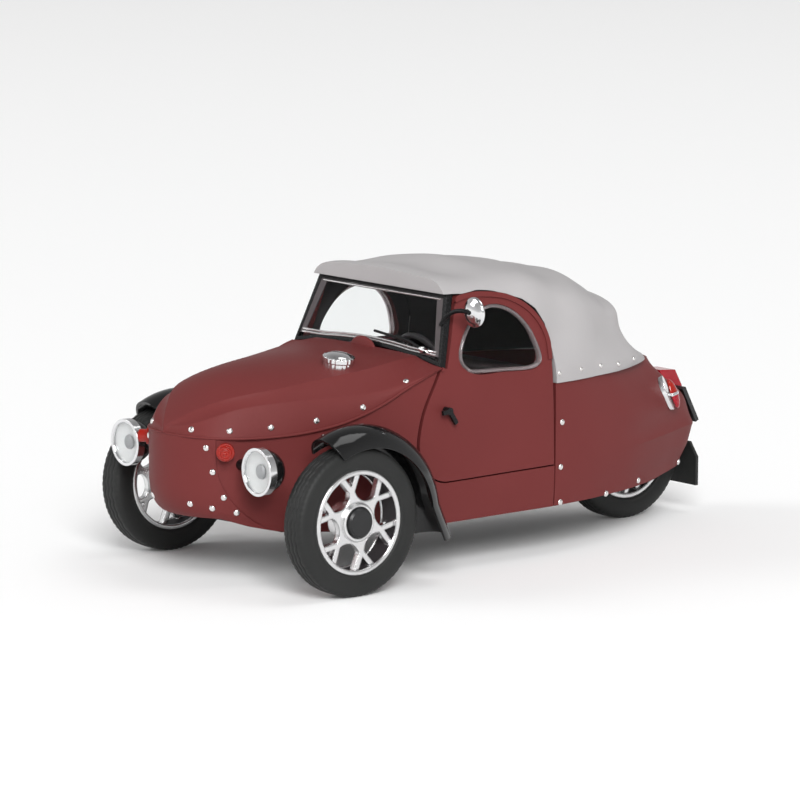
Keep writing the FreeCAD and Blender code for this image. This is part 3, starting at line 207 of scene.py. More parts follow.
def surface(name, colours, roughness, patch, grain, bump, edge=0.0, **settings):
    """
    Finish: two colours mixed by soft patches, roughness and relief by fine grain, and rounded
    edges. The sizes of patches, grain, relief and edges are in millimetres.
    """
    material = bpy.data.materials.new(name)
    material.use_nodes = True
    tree = material.node_tree
    shader = tree.nodes["Principled BSDF"]
    place = new_node(tree, "TexCoord")
    patches = new_node(tree, "TexNoise", Scale=1 / (patch * MM), Detail=PATCH_DETAIL)
    mix = new_node(tree, "Mix")
    mix.data_type = "RGBA"
    shades = [socket for socket in mix.inputs if socket.type == "RGBA"]
    shades[0].default_value = (*colours[0], 1)
    shades[1].default_value = (*colours[1], 1)
    blend = [number for number, socket in enumerate(mix.outputs) if socket.type == "RGBA"][0]
    grains = new_node(tree, "TexNoise", Scale=1 / (grain * MM), Detail=GRAIN_DETAIL)
    sheen = new_node(tree, "MapRange", To_Min=roughness[0], To_Max=roughness[1])
    relief = new_node(tree, "Bump", Distance=bump * MM)
    links(tree,
          (place, "Object", patches, "Vector"),
          (place, "Object", grains, "Vector"),
          (patches, "Fac", mix, "Factor"),
          (mix, blend, shader, "Base Color"),
          (grains, "Fac", sheen, "Value"),
          (sheen, "Result", shader, "Roughness"),
          (grains, "Fac", relief, "Height"),
          (relief, "Normal", shader, "Normal"))
    if edge:
        rounding = new_node(tree, "Bevel", Radius=edge * MM)
        rounding.samples = EDGE_SAMPLES
        links(tree, (rounding, "Normal", relief, "Normal"))
    for socket, value in settings.items():
        shader.inputs[socket.replace("_", " ")].default_value = value
    return material


def creased(piece, angle):
    """Shades a piece smooth and keeps the edges that bend by more than an angle sharp."""
    piece.data.shade_smooth()
    piece.data.set_sharp_from_angle(angle=angle)


def finished(piece, material, body, crease=EDGE_ANGLE):
    """Creases a piece, gives it its finish and lets it ride on a body."""
    creased(piece, crease)
    piece.data.materials.clear()
    piece.data.materials.append(material)
    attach(piece, body)
    return piece


def dressed(node, name, material, body="body", crease=EDGE_ANGLE):
    """Merged copy of a solid's mesh, standing for it, in its own finish."""
    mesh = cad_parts[node].data.copy()
    mesh.attributes.remove(mesh.attributes["custom_normal"])
    copy = placed(name, mesh)
    copy.modifiers.new("merge", "WELD").merge_threshold = MERGE
    graph = bpy.context.evaluated_depsgraph_get()
    copy.data = bpy.data.meshes.new_from_object(copy.evaluated_get(graph))
    copy.modifiers.clear()
    copy.data.name = name
    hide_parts(node)
    return finished(copy, material, body, crease)


base_black = surface("base_black", BASE_BLACK, (0.5, 0.62), 5, 0.15, 0.01, 0.08)
dressed("base_plate", "base_moulding", base_black)
dressed("rear_fork", "fork_moulding", base_black)


# Inside: a dark moulded tub with a bench seat, a painted dashboard, and a thin rimmed steering
# wheel pushed onto a stub of the dashboard.
TUB_DARK_AND_PAINTED_SHADE = ((0.018, 0.016, 0.018), (0.028, 0.024, 0.027))
SEAT_DARK = ((0.030, 0.018, 0.020), (0.045, 0.026, 0.028))
DASH_MAROON = ((0.070, 0.012, 0.020), (0.050, 0.010, 0.016))
STEERING_CREASE = math.radians(70)

# The tub's dark plastic also serves as painted shade inside the doors and the wheels' barrels.
tub_plastic_and_painted_shade = surface("tub_plastic_and_painted_shade", TUB_DARK_AND_PAINTED_SHADE, (0.55, 0.7), 4, 0.2, 0.01)
seat_plastic = surface("seat_plastic", SEAT_DARK, (0.5, 0.62), 3, 0.25, 0.03, 0.12)
dash_paint = surface("dash_paint", DASH_MAROON, (0.35, 0.45), 3, 0.15, 0.005, 0.06)
dressed("interior_tub", "tub_moulding", tub_plastic_and_painted_shade)
dressed("seat", "bench_seat", seat_plastic)
dressed("dashboard", "dash_panel", dash_paint)
dressed("steering_wheel", "steering_rim", tub_plastic_and_painted_shade, crease=STEERING_CREASE)


# Body shell: zinc castings of the front, doors and tail under one coat of matt burgundy paint,
# the doors' inside faces dark as painted shade, and the doors cut back a little along their front
# edge. The tail has a crease along it, pressed slightly hollow above and below.
PAINT = ((0.150, 0.0290, 0.0285), (0.132, 0.0245, 0.0240))
PRESSED_ANGLE = math.radians(11)
SHADED_DOOR_INSIDE = 0.5
DOOR_EDGE_AIM = 0.7
DOOR_GAP = 0.22 * MM
TAIL_CREASE = (0, 18.3 * MM, 9.24 * MM)
TAIL_CREASE_NORMAL = (0, -0.0244, 0.9997)
TAIL_CREASE_START = 16.0 * MM
TAIL_CREASE_FADE = 7.0 * MM
TAIL_OUT_WEIGHTS = (1, 0.5, 0)
TAIL_SLICE = 0.4 * MM
TAIL_SLICE_COUNT = 8
TAIL_HOLLOW_HIGH = 0.22 * MM
TAIL_HOLLOW_LOW = 0.10 * MM
HOLLOW_PEAK = 4 / 27
TINY = 0.1 * MM

paint = surface("burgundy_paint", PAINT, (0.50, 0.58), 7, 0.10, 0.003, 0.06,
                Specular_IOR_Level=0.14)
dressed("front_body", "front_casting", paint)


def read(items, name, kind=float):
    """A property in three parts of a mesh's corners, faces or triangles, as an array."""
    values = np.empty(len(items) * 3, kind)
    items.foreach_get(name, values)
    return values.reshape(-1, 3)


def corners_of(mesh):
    """Corners of a mesh as an array."""
    return read(mesh.vertices, "co")


def move_corners(mesh, places):
    """Puts a mesh's corners in new places."""
    mesh.vertices.foreach_set("co", places.ravel())
    mesh.update()


def unit(vectors, least=0.0):
    """Vectors over their length, or over a least length where that is more."""
    return vectors / np.maximum(np.linalg.norm(vectors, axis=-1, keepdims=True), least)


def triangles_of(mesh):
    """Numbers of the corners of a mesh's triangles, a row each."""
    mesh.calc_loop_triangles()
    return read(mesh.loop_triangles, "vertices", np.int32)


def faces_of(mesh):
    """Middles and normals of a mesh's faces as arrays."""
    return read(mesh.polygons, "center"), read(mesh.polygons, "normal")


def finish_some_faces(piece, faces, material):
    """Gives some of a piece's faces a second finish."""
    piece.data.materials.append(material)
    piece.data.polygons.foreach_set("material_index", faces.astype(np.int32))
    piece.data.update()


def sliced(mesh, middle, normal, steps):
    """Cuts a mesh's faces along level planes at steps from a middle, without moving anything."""
    shape = bmesh.new()
    shape.from_mesh(mesh)
    for step in steps:
        bmesh.ops.bisect_plane(shape, geom=shape.verts[:] + shape.edges[:] + shape.faces[:],
                               plane_co=Vector(middle) + Vector((0, 0, step)), plane_no=normal)
    shape.to_mesh(mesh)
    shape.free()


def pressed_tail(places):
    """
    Hollows above and below the tail's crease. The depth goes as the share of the way from the
    crease times the square of what is left of it, over that product's peak, and grows from
    nothing towards the back.
    """
    above = (places - TAIL_CREASE) @ np.array(TAIL_CREASE_NORMAL)
    share = np.clip(np.abs(above) / (TAIL_SLICE * TAIL_SLICE_COUNT), 0, 1)
    deepest = np.where(above > 0, TAIL_HOLLOW_HIGH, TAIL_HOLLOW_LOW)
    depth = deepest * share * (1 - share) ** 2 / HOLLOW_PEAK
    grown = np.clip((places[:, 1] - TAIL_CREASE_START) / TAIL_CREASE_FADE, 0, 1)
    out = unit((places - (0, TAIL_CREASE_START - TAIL_CREASE_FADE, 0)) * TAIL_OUT_WEIGHTS, TINY)
    return places - out * (depth * grown)[:, None]


for side in ("left", "right"):
    door = dressed("door_" + side, side + "_door_casting", paint)
    middles, normals = faces_of(door.data)
    # The doors' inward faces take the dark tub plastic: painted shade.
    finish_some_faces(door, normals[:, 0] * np.sign(middles[:, 0]) < -SHADED_DOOR_INSIDE, tub_plastic_and_painted_shade)
    front_edge = (normals[:, 1] < -DOOR_EDGE_AIM) & (middles[:, 1] < 0)
    places = corners_of(door.data)
    places[np.unique(triangles_of(door.data)[front_edge]), 1] += DOOR_GAP
    move_corners(door.data, places)
tail = dressed("rear_body", "tail_casting", paint, crease=PRESSED_ANGLE)
levels = np.arange(-TAIL_SLICE_COUNT, TAIL_SLICE_COUNT + 1) * TAIL_SLICE
sliced(tail.data, TAIL_CREASE, TAIL_CREASE_NORMAL, levels)
move_corners(tail.data, pressed_tail(corners_of(tail.data)))
creased(tail, PRESSED_ANGLE)


# Bonnet: one casting over the nose. Two creases a side run its length, and the bands between
# them are pressed slightly hollow. Its lip is a thin rolled bead.
UPPER_CREASE = ((0.06, -32.47, 14.61), (2.01, -30.61, 16.52), (4.16, -28.23, 17.70),
                (5.69, -25.24, 18.31), (6.53, -21.96, 18.75), (7.06, -18.60, 19.18),
                (7.58, -15.24, 19.56), (7.80, -11.86, 20.06), (7.64, -8.45, 20.42))
LOWER_CREASE = ((0.14, -32.47, 14.56), (3.11, -31.17, 15.62), (5.23, -28.54, 16.73),
                (6.72, -25.35, 17.27), (7.94, -22.01, 17.48), (8.92, -18.58, 17.60),
                (9.95, -15.17, 17.87), (10.92, -11.84, 18.70), (11.34, -8.46, 19.74))
LIP_LINE = ((0.20, -32.47, 14.44), (3.67, -31.45, 14.40), (6.16, -28.81, 14.30),
            (7.58, -25.41, 14.31), (8.78, -21.93, 14.61), (9.66, -18.42, 15.28),
            (10.42, -15.03, 16.53), (11.10, -11.84, 18.24), (11.40, -8.45, 19.65))
HOLLOW_MIDDLE = 0.16 * MM
HOLLOW_LOW = 0.12 * MM
HOLLOW_AIM = (0.75, 0, 0.66)
HOLLOW_FULL_WIDTH = 1.1 * MM
HOLLOW_LEAST_WIDTH = 0.05 * MM
HOLLOW_OVERLAP = 0.02 * MM
LINE_STEPS = 8
BEAD_RADIUS = 0.13 * MM
BEAD_OUT = 0.02 * MM
BEAD_SIDES = 10


def smooth_line(points, steps, closed=False):
    """
    Smooth line through points: between two neighbours, a cubic whose slope at each point is half
    the step from the point before it to the point after it. An open line is carried straight on
    past its ends for that.
    """
    points = np.asarray(points, float)
    if closed:
        ends = np.concatenate([points[-1:], points, points[:2]])
    else:
        ends = np.concatenate([[2 * points[0] - points[1]], points, [2 * points[-1] - points[-2]]])
    t = np.linspace(0, 1, steps, endpoint=False)[None, :, None]
    a, b, c, d = (ends[i:len(ends) - 3 + i, None, :] for i in range(4))
    line = b + 0.5 * t * (c - a + t * (2 * a - 5 * b + 4 * c - d + t * (3 * (b - c) + d - a)))
    line = line.reshape(-1, points.shape[1])
    return line if closed else np.concatenate([line, points[-1:]])


upper, lower, lip = (smooth_line(line, LINE_STEPS) * MM
                     for line in (UPPER_CREASE, LOWER_CREASE, LIP_LINE))


def pressed_bonnet(places):
    """
    Hollows between the creases, and between the lower crease and the lip. The depth goes as four
    times the share of the way across times what is left of it, and less where the band is narrow.
    """
    aside = np.abs(places[:, 0])
    upper_x, lower_x = (np.interp(places[:, 1], line[:, 1], line[:, 0]) for line in (upper, lower))
    lower_z, lip_z = (np.interp(places[:, 1], line[:, 1], line[:, 2]) for line in (lower, lip))
    width = np.maximum(lower_x - upper_x, HOLLOW_LEAST_WIDTH)
    fade = np.clip(width / HOLLOW_FULL_WIDTH, 0, 1)
    across = np.clip((aside - upper_x) / width, 0, 1)
    down = (lower_z - places[:, 2]) / (lower_z - lip_z)
    down = np.clip(np.where(aside > lower_x - HOLLOW_OVERLAP, down, 0), 0, 1)
    hollow = fade * 4 * (HOLLOW_MIDDLE * across * (1 - across) + HOLLOW_LOW * down * (1 - down))
    mirrored = np.where(places[:, :1] < 0, (-1, 1, 1), (1, 1, 1))
    return places - hollow[:, None] * mirrored * HOLLOW_AIM


def finer(piece, level):
    """Splits a piece's triangles in four, level times, without moving anything."""
    piece.modifiers.new("finer", "SUBSURF").subdivision_type = "SIMPLE"
    piece.modifiers["finer"].levels = level
    piece.modifiers["finer"].render_levels = level
    graph = bpy.context.evaluated_depsgraph_get()
    old = piece.data
    piece.data = bpy.data.meshes.new_from_object(piece.evaluated_get(graph))
    piece.modifiers.clear()
    piece.data.name = old.name


def closed_mesh(name, grids, looped=False):
    """
    Mesh of closed skins on grids of points (skin, row, column, axis). Each row of a grid goes
    round and closes on itself. Where looped, the last row joins the first, and otherwise each
    end row is closed by a fan to its middle. A skin is turned outwards by the sign of the volume
    that it encloses: the sum over its triangles of one corner times the others' cross product.
    """
    count, rows, columns = grids.shape[:3]
    index = np.arange(rows * columns).reshape(rows, columns)
    here = index if looped else index[:-1]
    after = np.roll(index, -1, axis=0) if looped else index[1:]
    quads = np.stack([here, np.roll(here, -1, 1), np.roll(after, -1, 1), after], -1).reshape(-1, 4)
    points = grids.reshape(count, -1, 3)
    triangles = np.concatenate([quads[:, :3], quads[:, [0, 2, 3]]])
    fans = np.zeros((0, 3), int)
    if not looped:
        poles = grids[:, [0, -1]].mean(axis=2)
        points = np.concatenate([points, poles], axis=1)
        top = np.full(columns, rows * columns)
        fans = np.concatenate([np.stack([np.roll(index[0], -1), index[0], top], -1),
                               np.stack([index[-1], np.roll(index[-1], -1), top + 1], -1)])
        triangles = np.concatenate([triangles, fans])
    a, b, c = (points[:, triangles[:, i]] for i in range(3))
    volumes = (a * np.cross(b, c)).sum(axis=(1, 2))
    faces = []
    for shape in (quads, fans):
        turned = np.where(volumes[:, None, None] < 0, shape[:, ::-1], shape)
        moved = turned + np.arange(count)[:, None, None] * points.shape[1]
        faces += moved.reshape(-1, shape.shape[1]).tolist()
    mesh = bpy.data.meshes.new(name)
    mesh.from_pydata(points.reshape(-1, 3).tolist(), [], faces)
    mesh.update()
    return mesh


def made(name, grids, material, body="body", looped=False, crease=EDGE_ANGLE, stands_for=()):
    """New piece from closed grids, in its finish, riding on a body."""
    piece = placed(name, closed_mesh(name, grids, looped))
    if stands_for:
        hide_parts(*stands_for)
    return finished(piece, material, body, crease)


def both_sides(grids):
    """The grids and their mirror images across the middle plane."""
    return np.concatenate([grids, grids * (-1, 1, 1)])


def full_turn(count):
    """Angles of a full turn in equal steps."""
    return np.linspace(0, 2 * np.pi, count, endpoint=False)


def tubes(lines, radius, sides):
    """
    Tubes along lines (line, point, axis): a circle in the plane square to the line's direction,
    carried by two directions square to it, weighted by the cosine and sine of the angle.
    """
    lines = np.asarray(lines, float)
    ahead = unit(np.gradient(lines, axis=1))
    level = unit(np.cross(ahead, (0.0, 0.0, 1.0)))
    square = np.cross(level, ahead)
    turn = full_turn(sides)[None, None, :, None]
    return lines[:, :, None] + radius * (level[:, :, None] * np.cos(turn)
                                         + square[:, :, None] * np.sin(turn))


bonnet = dressed("bonnet", "bonnet_casting", paint, crease=PRESSED_ANGLE)
finer(bonnet, 1)
move_corners(bonnet.data, pressed_bonnet(corners_of(bonnet.data)))
creased(bonnet, PRESSED_ANGLE)
bead_line = lip + (BEAD_OUT, 0, 0)
bead_line[:, 1] = np.maximum(lip[:, 1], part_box("bonnet")[0].y + BEAD_RADIUS)
made("bonnet_bead", both_sides(tubes(bead_line[None], BEAD_RADIUS, BEAD_SIDES)), paint)


# Rivets: small bright domed heads along the bonnet's lip, the nose panel's edge and the tail's
# seam and hem. They are placed where the photograph shows them and repeated on the other side.
RIVET_RADIUS = 0.31 * MM
RIVET_HEIGHT = 0.17 * MM
RIVET_SUNK = 0.05 * MM
RIVET_STEPS = 5
RIVET_SIDES = 14
STEEP = 0.9
SEARCH_ROUNDS = 6
BONNET_RIVET_PIXELS = ((191.3, 429.6), (229.7, 431.2), (271, 427.7), (316.5, 420.8),
                       (363, 407.5), (406, 381.1))
NOSE_RIVET_PIXELS = ((206.2, 448), (212.7, 472.2), (223.9, 497.7), (236.7, 512.7),
                     (212.3, 508.4), (190.1, 503.9))
TAIL_RIVET_PIXELS = ((562.2, 422.2), (560.6, 466.9), (560.2, 502.2), (606.1, 493.5),
                     (646.9, 482.2), (678.2, 461.8))
RIVET_SILVER = ((0.82, 0.80, 0.79), (0.74, 0.72, 0.71))


def spun(profile, centres, aims, columns):
    """
    Turned skins: each row is a circle about an axis through a centre along an aim. The profile
    gives the row's distance along the axis and its radius; two directions square to the aim,
    weighted by the cosine and sine of the column's angle, carry the radius.
    """
    profile = np.asarray(profile, float)
    centres = np.atleast_2d(centres)[:, None, None, :]
    aims = unit(np.atleast_2d(np.asarray(aims, float)))
    upright = np.where(np.abs(aims[:, 2:]) > STEEP, (1.0, 0.0, 0.0), (0.0, 0.0, 1.0))
    first = unit(np.cross(upright, aims))
    second = np.cross(aims, first)
    first, second, aims = (d[:, None, None, :] for d in (first, second, aims))
    angle = full_turn(columns)[None, None, :, None]
    along = profile[None, :, 0, None, None]
    radius = profile[None, :, 1, None, None]
    return centres + aims * along + radius * (first * np.cos(angle) + second * np.sin(angle))


def skin_of(mesh):
    """Search tree of a mesh's triangles."""
    return BVHTree.FromPolygons(corners_of(mesh).tolist(), triangles_of(mesh).tolist())


def rays(pixels):
    """Directions from the camera through pixels of the photograph."""
    spread = CAMERA_SENSOR / CAMERA_LENS
    return [camera_axes @ Vector(((across / PHOTO_SIZE - 0.5) * spread,
                                  (0.5 - down / PHOTO_SIZE) * spread, -1))
            for across, down in pixels]


def seen_on(mesh, pixels):
    """
    Places on a mesh where the camera sees it at the photograph's pixels, and its normals. A ray
    that just misses takes the nearest place: the search and the foot on the ray take turns.
    """
    tree = skin_of(mesh)
    hits = []
    for ray in rays(pixels):
        ray.normalize()
        hit = tree.ray_cast(camera_place, ray)
        if hit[0] is None:
            foot = camera_place + ray * camera_place.length
            for _ in range(SEARCH_ROUNDS):
                hit = tree.find_nearest(foot)
                foot = camera_place + ray * (hit[0] - camera_place).dot(ray)
        hits.append(hit)
    return np.array([tuple(hit[0]) for hit in hits]), np.array([tuple(hit[1]) for hit in hits])


def heads(places, normals, radius, height, sunk):
    """Domed heads: a quarter ellipse from the rim to the top, over a short sunk shank."""
    rise = np.linspace(0, np.pi / 2, RIVET_STEPS + 1)[:-1]
    profile = [(-sunk, radius)] + [(height * math.sin(a), radius * math.cos(a)) for a in rise]
    return spun(profile, places, normals, RIVET_SIDES)


rivet_silver = surface("rivet_silver", RIVET_SILVER, (0.18, 0.28), 1, 0.1, 0.002, Metallic=1.0)
for name, mesh, pixels in (("bonnet_rivets", bonnet.data, BONNET_RIVET_PIXELS),
                           ("nose_rivets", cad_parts["front_body"].data, NOSE_RIVET_PIXELS),
                           ("tail_rivets", tail.data, TAIL_RIVET_PIXELS)):
    places, normals = seen_on(mesh, pixels)
    grids = heads(places, normals, RIVET_RADIUS, RIVET_HEIGHT, RIVET_SUNK)
    made(name, both_sides(grids), rivet_silver)


# Axles: plain drawn steel rods, the front one a push fit in the body and the rear one in the
# fork. The wheels turn on them.
AXLE_STEEL = ((0.42, 0.42, 0.43), (0.34, 0.34, 0.35))

axle_steel = surface("axle_steel", AXLE_STEEL, (0.28, 0.4), 2, 0.1, 0.004, Metallic=1.0)
dressed("front_axle", "front_rod", axle_steel)
dressed("rear_axle", "rear_rod", axle_steel)


# Wheels: plated one-piece rims with six forked spokes, painted shade in the barrel and a rolled
# lip on each side, and black caps pressed on the front hubs inside a raised ring.
RIM_SILVER = ((0.80, 0.80, 0.80), (0.70, 0.70, 0.71))
CAP_BLACK = ((0.012, 0.012, 0.013), (0.018, 0.018, 0.019))
LIP_WIDTH = 0.50 * MM
LIP_PROUD = 0.15 * MM
HUB_RING_WIDTH = 0.40 * MM
HUB_RING_PROUD = 0.16 * MM
LIP_SIDES = 12
WHEEL_STEPS = 96
LIP_OVERLAP = 0.04 * MM
WHEELS = ("front_left", "front_right", "rear")
RIM_CREASE = math.radians(40)
CAP_CREASE = math.radians(20)
SHADED_BARREL_AIM = 0.7
SHADED_BARREL_SHARE = 0.78

rim_silver = surface("rim_silver", RIM_SILVER, (0.20, 0.30), 3, 0.2, 0.003, 0.26, Metallic=1.0)
cap_black = surface("cap_black", CAP_BLACK, (0.25, 0.38), 2, 0.15, 0.004, 0.08,
                    Specular_IOR_Level=0.35)


def hoops(centres, radii, across, out, steps, sides):
    """
    Rings about the wheel's axle: an ellipse of half axes across (along the radius) and out (along
    the axle) carried round a circle. Rows follow the circle and columns the ellipse.
    """
    turn = full_turn(steps)[None, :, None]
    bend = full_turn(sides)[None, None, :]
    radius = np.asarray(radii)[:, None, None] + across * np.cos(bend)
    side = out * np.sin(bend) + 0 * turn
    rings = np.stack([side + 0 * radius, radius * np.cos(turn), radius * np.sin(turn)], -1)
    return np.asarray(centres)[:, None, None, :] + rings


def shaded_barrel(rim, middle, radius):
    """Faces inside a rim's barrel that take painted shade: far out from the axle, normals pointing
    at it.
    """
    middles, normals = faces_of(rim.data)
    arms = (middles - np.array(middle)) * (0, 1, 1)
    reach = np.linalg.norm(arms, axis=1)
    inwards = -(normals * arms).sum(axis=1) / np.maximum(reach, TINY)
    return (inwards > SHADED_BARREL_AIM) & (reach > SHADED_BARREL_SHARE * radius)


for wheel in WHEELS:
    body = "wheel_" + wheel
    rim = dressed("rim_" + wheel, wheel + "_rim", rim_silver, body, crease=RIM_CREASE)
    low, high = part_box("rim_" + wheel)
    middle = (low + high) / 2
    # The barrel's inward faces take the dark tub plastic: painted shade.
    finish_some_faces(rim, shaded_barrel(rim, middle, (high.z - low.z) / 2), tub_plastic_and_painted_shade)
    if wheel != "rear":
        dressed("hub_cap_" + wheel, wheel + "_cap", cap_black, body, crease=CAP_CREASE)
    centres = [(x, middle.y, middle.z) for x in (low.x, high.x)]
    radius = (high.z - low.z) / 2 - LIP_WIDTH / 2 + LIP_OVERLAP
    rings = hoops(centres, (radius, radius), LIP_WIDTH / 2, LIP_PROUD, WHEEL_STEPS, LIP_SIDES)
    if wheel != "rear":
        cap_low, cap_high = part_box("hub_cap_" + wheel)
        outside = low.x if low.x + high.x < 0 else high.x
        ring_radius = (cap_high.z - cap_low.z) / 2 + HUB_RING_WIDTH / 2
        place = (outside, middle.y, middle.z)
        hub_ring = hoops([place], (ring_radius,), HUB_RING_WIDTH / 2, HUB_RING_PROUD,
                         WHEEL_STEPS // 2, LIP_SIDES)
        made(wheel + "_hub_ring", hub_ring, rim_silver, body, looped=True)
    made(wheel + "_rim_lips", rings, rim_silver, body, looped=True)


# Tyres: soft black rubber stretched over the rims, with a raised bead by the rim, a plain side
# wall and a ribbed tread: three wavy grooves round it and short cuts across the shoulders.
TYRE_BLACK = ((0.013, 0.0135, 0.0132), (0.019, 0.0195, 0.019))
TYRE_STEPS = 288
TREAD_POINTS = 45
TREAD_HALF_SHARE = 0.70
TREAD_CROWN = 0.05 * MM
GROOVE_PLACES = (-0.55, 0.0, 0.55)
GROOVE_WIDTH_SHARE = 0.075
GROOVE_WAVE_SHARE = 0.07
GROOVE_DEPTH = 0.13 * MM
WAVE_COUNT = 36
CUT_COUNT = 72
CUT_DEPTH = 0.10 * MM
CUT_STEEPNESS = 1.6
CUT_SILL = 0.5
SHOULDER_PLACE = 0.78
SHOULDER_REACH = 0.08
OFF_TREAD = 9.0
TYRE_CREASE = math.radians(50)
SIDE_WALL = ((0.83, 0.0), (0.88, 0.06), (0.925, 0.10), (0.935, 0.13), (0.905, 0.17), (0.955, 0.28),
             (0.995, 0.45), (1.0, 0.60), (0.985, 0.74), (0.93, 0.86), (0.85, 0.935), (0.77, 0.97))

rubber = surface("tyre_black", TYRE_BLACK, (0.50, 0.62), 3, 0.12, 0.006, Specular_IOR_Level=0.3)


def tyre_skin(wheel):
    """
    Tyre: a section carried round the axle. The section runs up one wall, over the tread and down
    the other. The tread's radius drops by a bell curve at each groove, whose place across sways
    with the sine of the angle, and by a rounded wave of the angle near the shoulders.
    """
    low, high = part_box("tyre_" + wheel)
    rim_low, rim_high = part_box("rim_" + wheel)
    middle = (low + high) / 2
    half = (high.x - low.x) / 2
    outer = (high.z - low.z) / 2
    inner = (rim_high.z - rim_low.z) / 2
    wall = np.array(SIDE_WALL)
    share = np.linspace(1, -1, TREAD_POINTS)
    tread = np.stack([share * TREAD_HALF_SHARE, np.ones(TREAD_POINTS)], -1)
    section = np.concatenate([wall, tread, wall[::-1] * (-1, 1)])
    across = section[:, 0] * half
    radius = inner + section[:, 1] * (outer - inner)
    aside = np.full(len(wall), OFF_TREAD)
    place = np.concatenate([aside, share, aside])
    turn = full_turn(TYRE_STEPS)[:, None]
    sway = GROOVE_WAVE_SHARE * np.sin(WAVE_COUNT * turn)
    drop = TREAD_CROWN * np.minimum(np.abs(place), 1) ** 2 * (place < OFF_TREAD)
    for groove in GROOVE_PLACES:
        drop = drop + GROOVE_DEPTH * np.exp(-((place - groove - sway) / GROOVE_WIDTH_SHARE) ** 2)
    shoulder = np.exp(-((np.abs(section[:, 0]) - SHOULDER_PLACE) / SHOULDER_REACH) ** 2)
    wave = np.sin(CUT_COUNT * turn + np.sign(across) * np.pi / 2)
    cut = np.clip(CUT_STEEPNESS * wave - CUT_SILL, 0, 1)
    radius = radius - drop - CUT_DEPTH * shoulder * cut
    skin = np.stack([across + 0 * radius, radius * np.cos(turn), radius * np.sin(turn)], -1)
    return np.array(middle) + skin[None]


for wheel in WHEELS:
    made(wheel + "_tyre", tyre_skin(wheel), rubber, "wheel_" + wheel, looped=True,
         crease=TYRE_CREASE, stands_for=("tyre_" + wheel,))


# Mudguards: thin crowned arches of gloss black plastic, each on one stay from the body and clear
# of the tyre that turns below it.
GLOSS_BLACK = ((0.0060, 0.0060, 0.0062), (0.0080, 0.0080, 0.0084))

gloss_black = surface("gloss_black", GLOSS_BLACK, (0.08, 0.12), 4, 0.2, 0.001, 0.08,
                      Specular_IOR_Level=0.5)
dressed("mudguard_left", "left_mudguard", gloss_black)
dressed("mudguard_right", "right_mudguard", gloss_black)


# Headlamps: black bowls on a bar, each with a plated bezel rolled over at its front, a bright
# reflector dish with a grey bulb, and a clear domed glass that snaps into the bezel. The clip on
# the bezel's top is laid flat.
DISH_SILVER = ((0.88, 0.88, 0.88), (0.80, 0.80, 0.80))
BULB_GREY = ((0.42, 0.42, 0.43), (0.36, 0.36, 0.37))
GLASS_CLEAR = ((0.97, 0.98, 0.98), (0.95, 0.96, 0.96))
PLATING = ((0.84, 0.84, 0.85), (0.76, 0.76, 0.77))
ROLL_RADIUS = 0.17 * MM
DISH_STEPS = 10
DISH_WALL = 0.06 * MM
DISH_FLOOR = 0.96
DISH_RISE = 0.50
DISH_HEART = 0.06
GLASS_PLACE = 0.30
GLASS_WALL = 0.08 * MM
GLASS_BULGE = 0.22 * MM
LAMP_SIDES = 64
BULB_PROFILE = ((0.95, 0.33), (0.78, 0.36), (0.62, 0.34), (0.52, 0.27), (0.47, 0.12))

plating = surface("bright_plating", PLATING, (0.10, 0.18), 3, 0.2, 0.001, 0.08, Metallic=1.0)
dish_silver = surface("dish_silver", DISH_SILVER, (0.35, 0.45), 1, 0.15, 0.006, Metallic=0.35)
bulb_grey = surface("bulb_grey", BULB_GREY, (0.3, 0.4), 1, 0.1, 0.002)
clear_glass = surface("clear_glass", GLASS_CLEAR, (0.0, 0.01), 5, 6, 0.0005,
                      Transmission_Weight=1.0, IOR=1.14)
low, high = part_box("headlamp_left")
lamp_radius = (high.x - low.x) / 2
lamp_front = Vector((low.x + lamp_radius, low.y, low.z + lamp_radius))
lamp_depth = high.y - low.y
glass_low, glass_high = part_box("headlamp_lens_left")
dish_radius = (glass_high.x - glass_low.x) / 2
share = np.linspace(1, DISH_HEART, DISH_STEPS)
hollow = lamp_depth * (DISH_FLOOR - DISH_RISE * share ** 2)
bulge = GLASS_BULGE * (1 - share ** 2)
pane_depth = lamp_depth * GLASS_PLACE - bulge


def turned_wall(front, back):
    """Profile of a thin turned wall: its front from the heart outwards, then its back inwards."""
    return np.concatenate([np.stack([front, dish_radius * share], -1)[::-1],
                           np.stack([back, dish_radius * share], -1)])


dish = turned_wall(hollow, np.minimum(hollow + DISH_WALL, lamp_depth))
glass = turned_wall(pane_depth, pane_depth + GLASS_WALL)
bulb = np.array(BULB_PROFILE) * (lamp_depth, dish_radius)
back = (0, 1, 0)
turn = full_turn(LIP_SIDES)
roll = np.stack([ROLL_RADIUS * (1 + np.cos(turn)),
                 lamp_radius - ROLL_RADIUS + ROLL_RADIUS * np.sin(turn)], -1)
for name, profile, finish, slot, looped, stands_for in (
        ("headlamp_rolls", roll, plating, "chrome_plating", True, ()),
        ("headlamp_dishes", dish, dish_silver, "chrome_plating", False, ()),
        ("headlamp_bulbs", bulb, bulb_grey, "lamp_lens", False, ()),
        ("headlamp_glasses", glass, clear_glass, "lamp_lens", False,
         ("headlamp_lens_left", "headlamp_lens_right"))):
    grids = both_sides(spun(profile, lamp_front, back, LAMP_SIDES))
    made(name, grids, finish, looped=looped, stands_for=stands_for)
for side in ("left", "right"):
    bezel = dressed("headlamp_" + side, side + "_bezel", plating)
    low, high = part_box("headlamp_" + side)
    places = corners_of(bezel.data)
    places[:, 2] = np.minimum(places[:, 2], low.z + high.x - low.x)
    move_corners(bezel.data, places)
dressed("headlamp_bowls", "lamp_bowls", gloss_black)


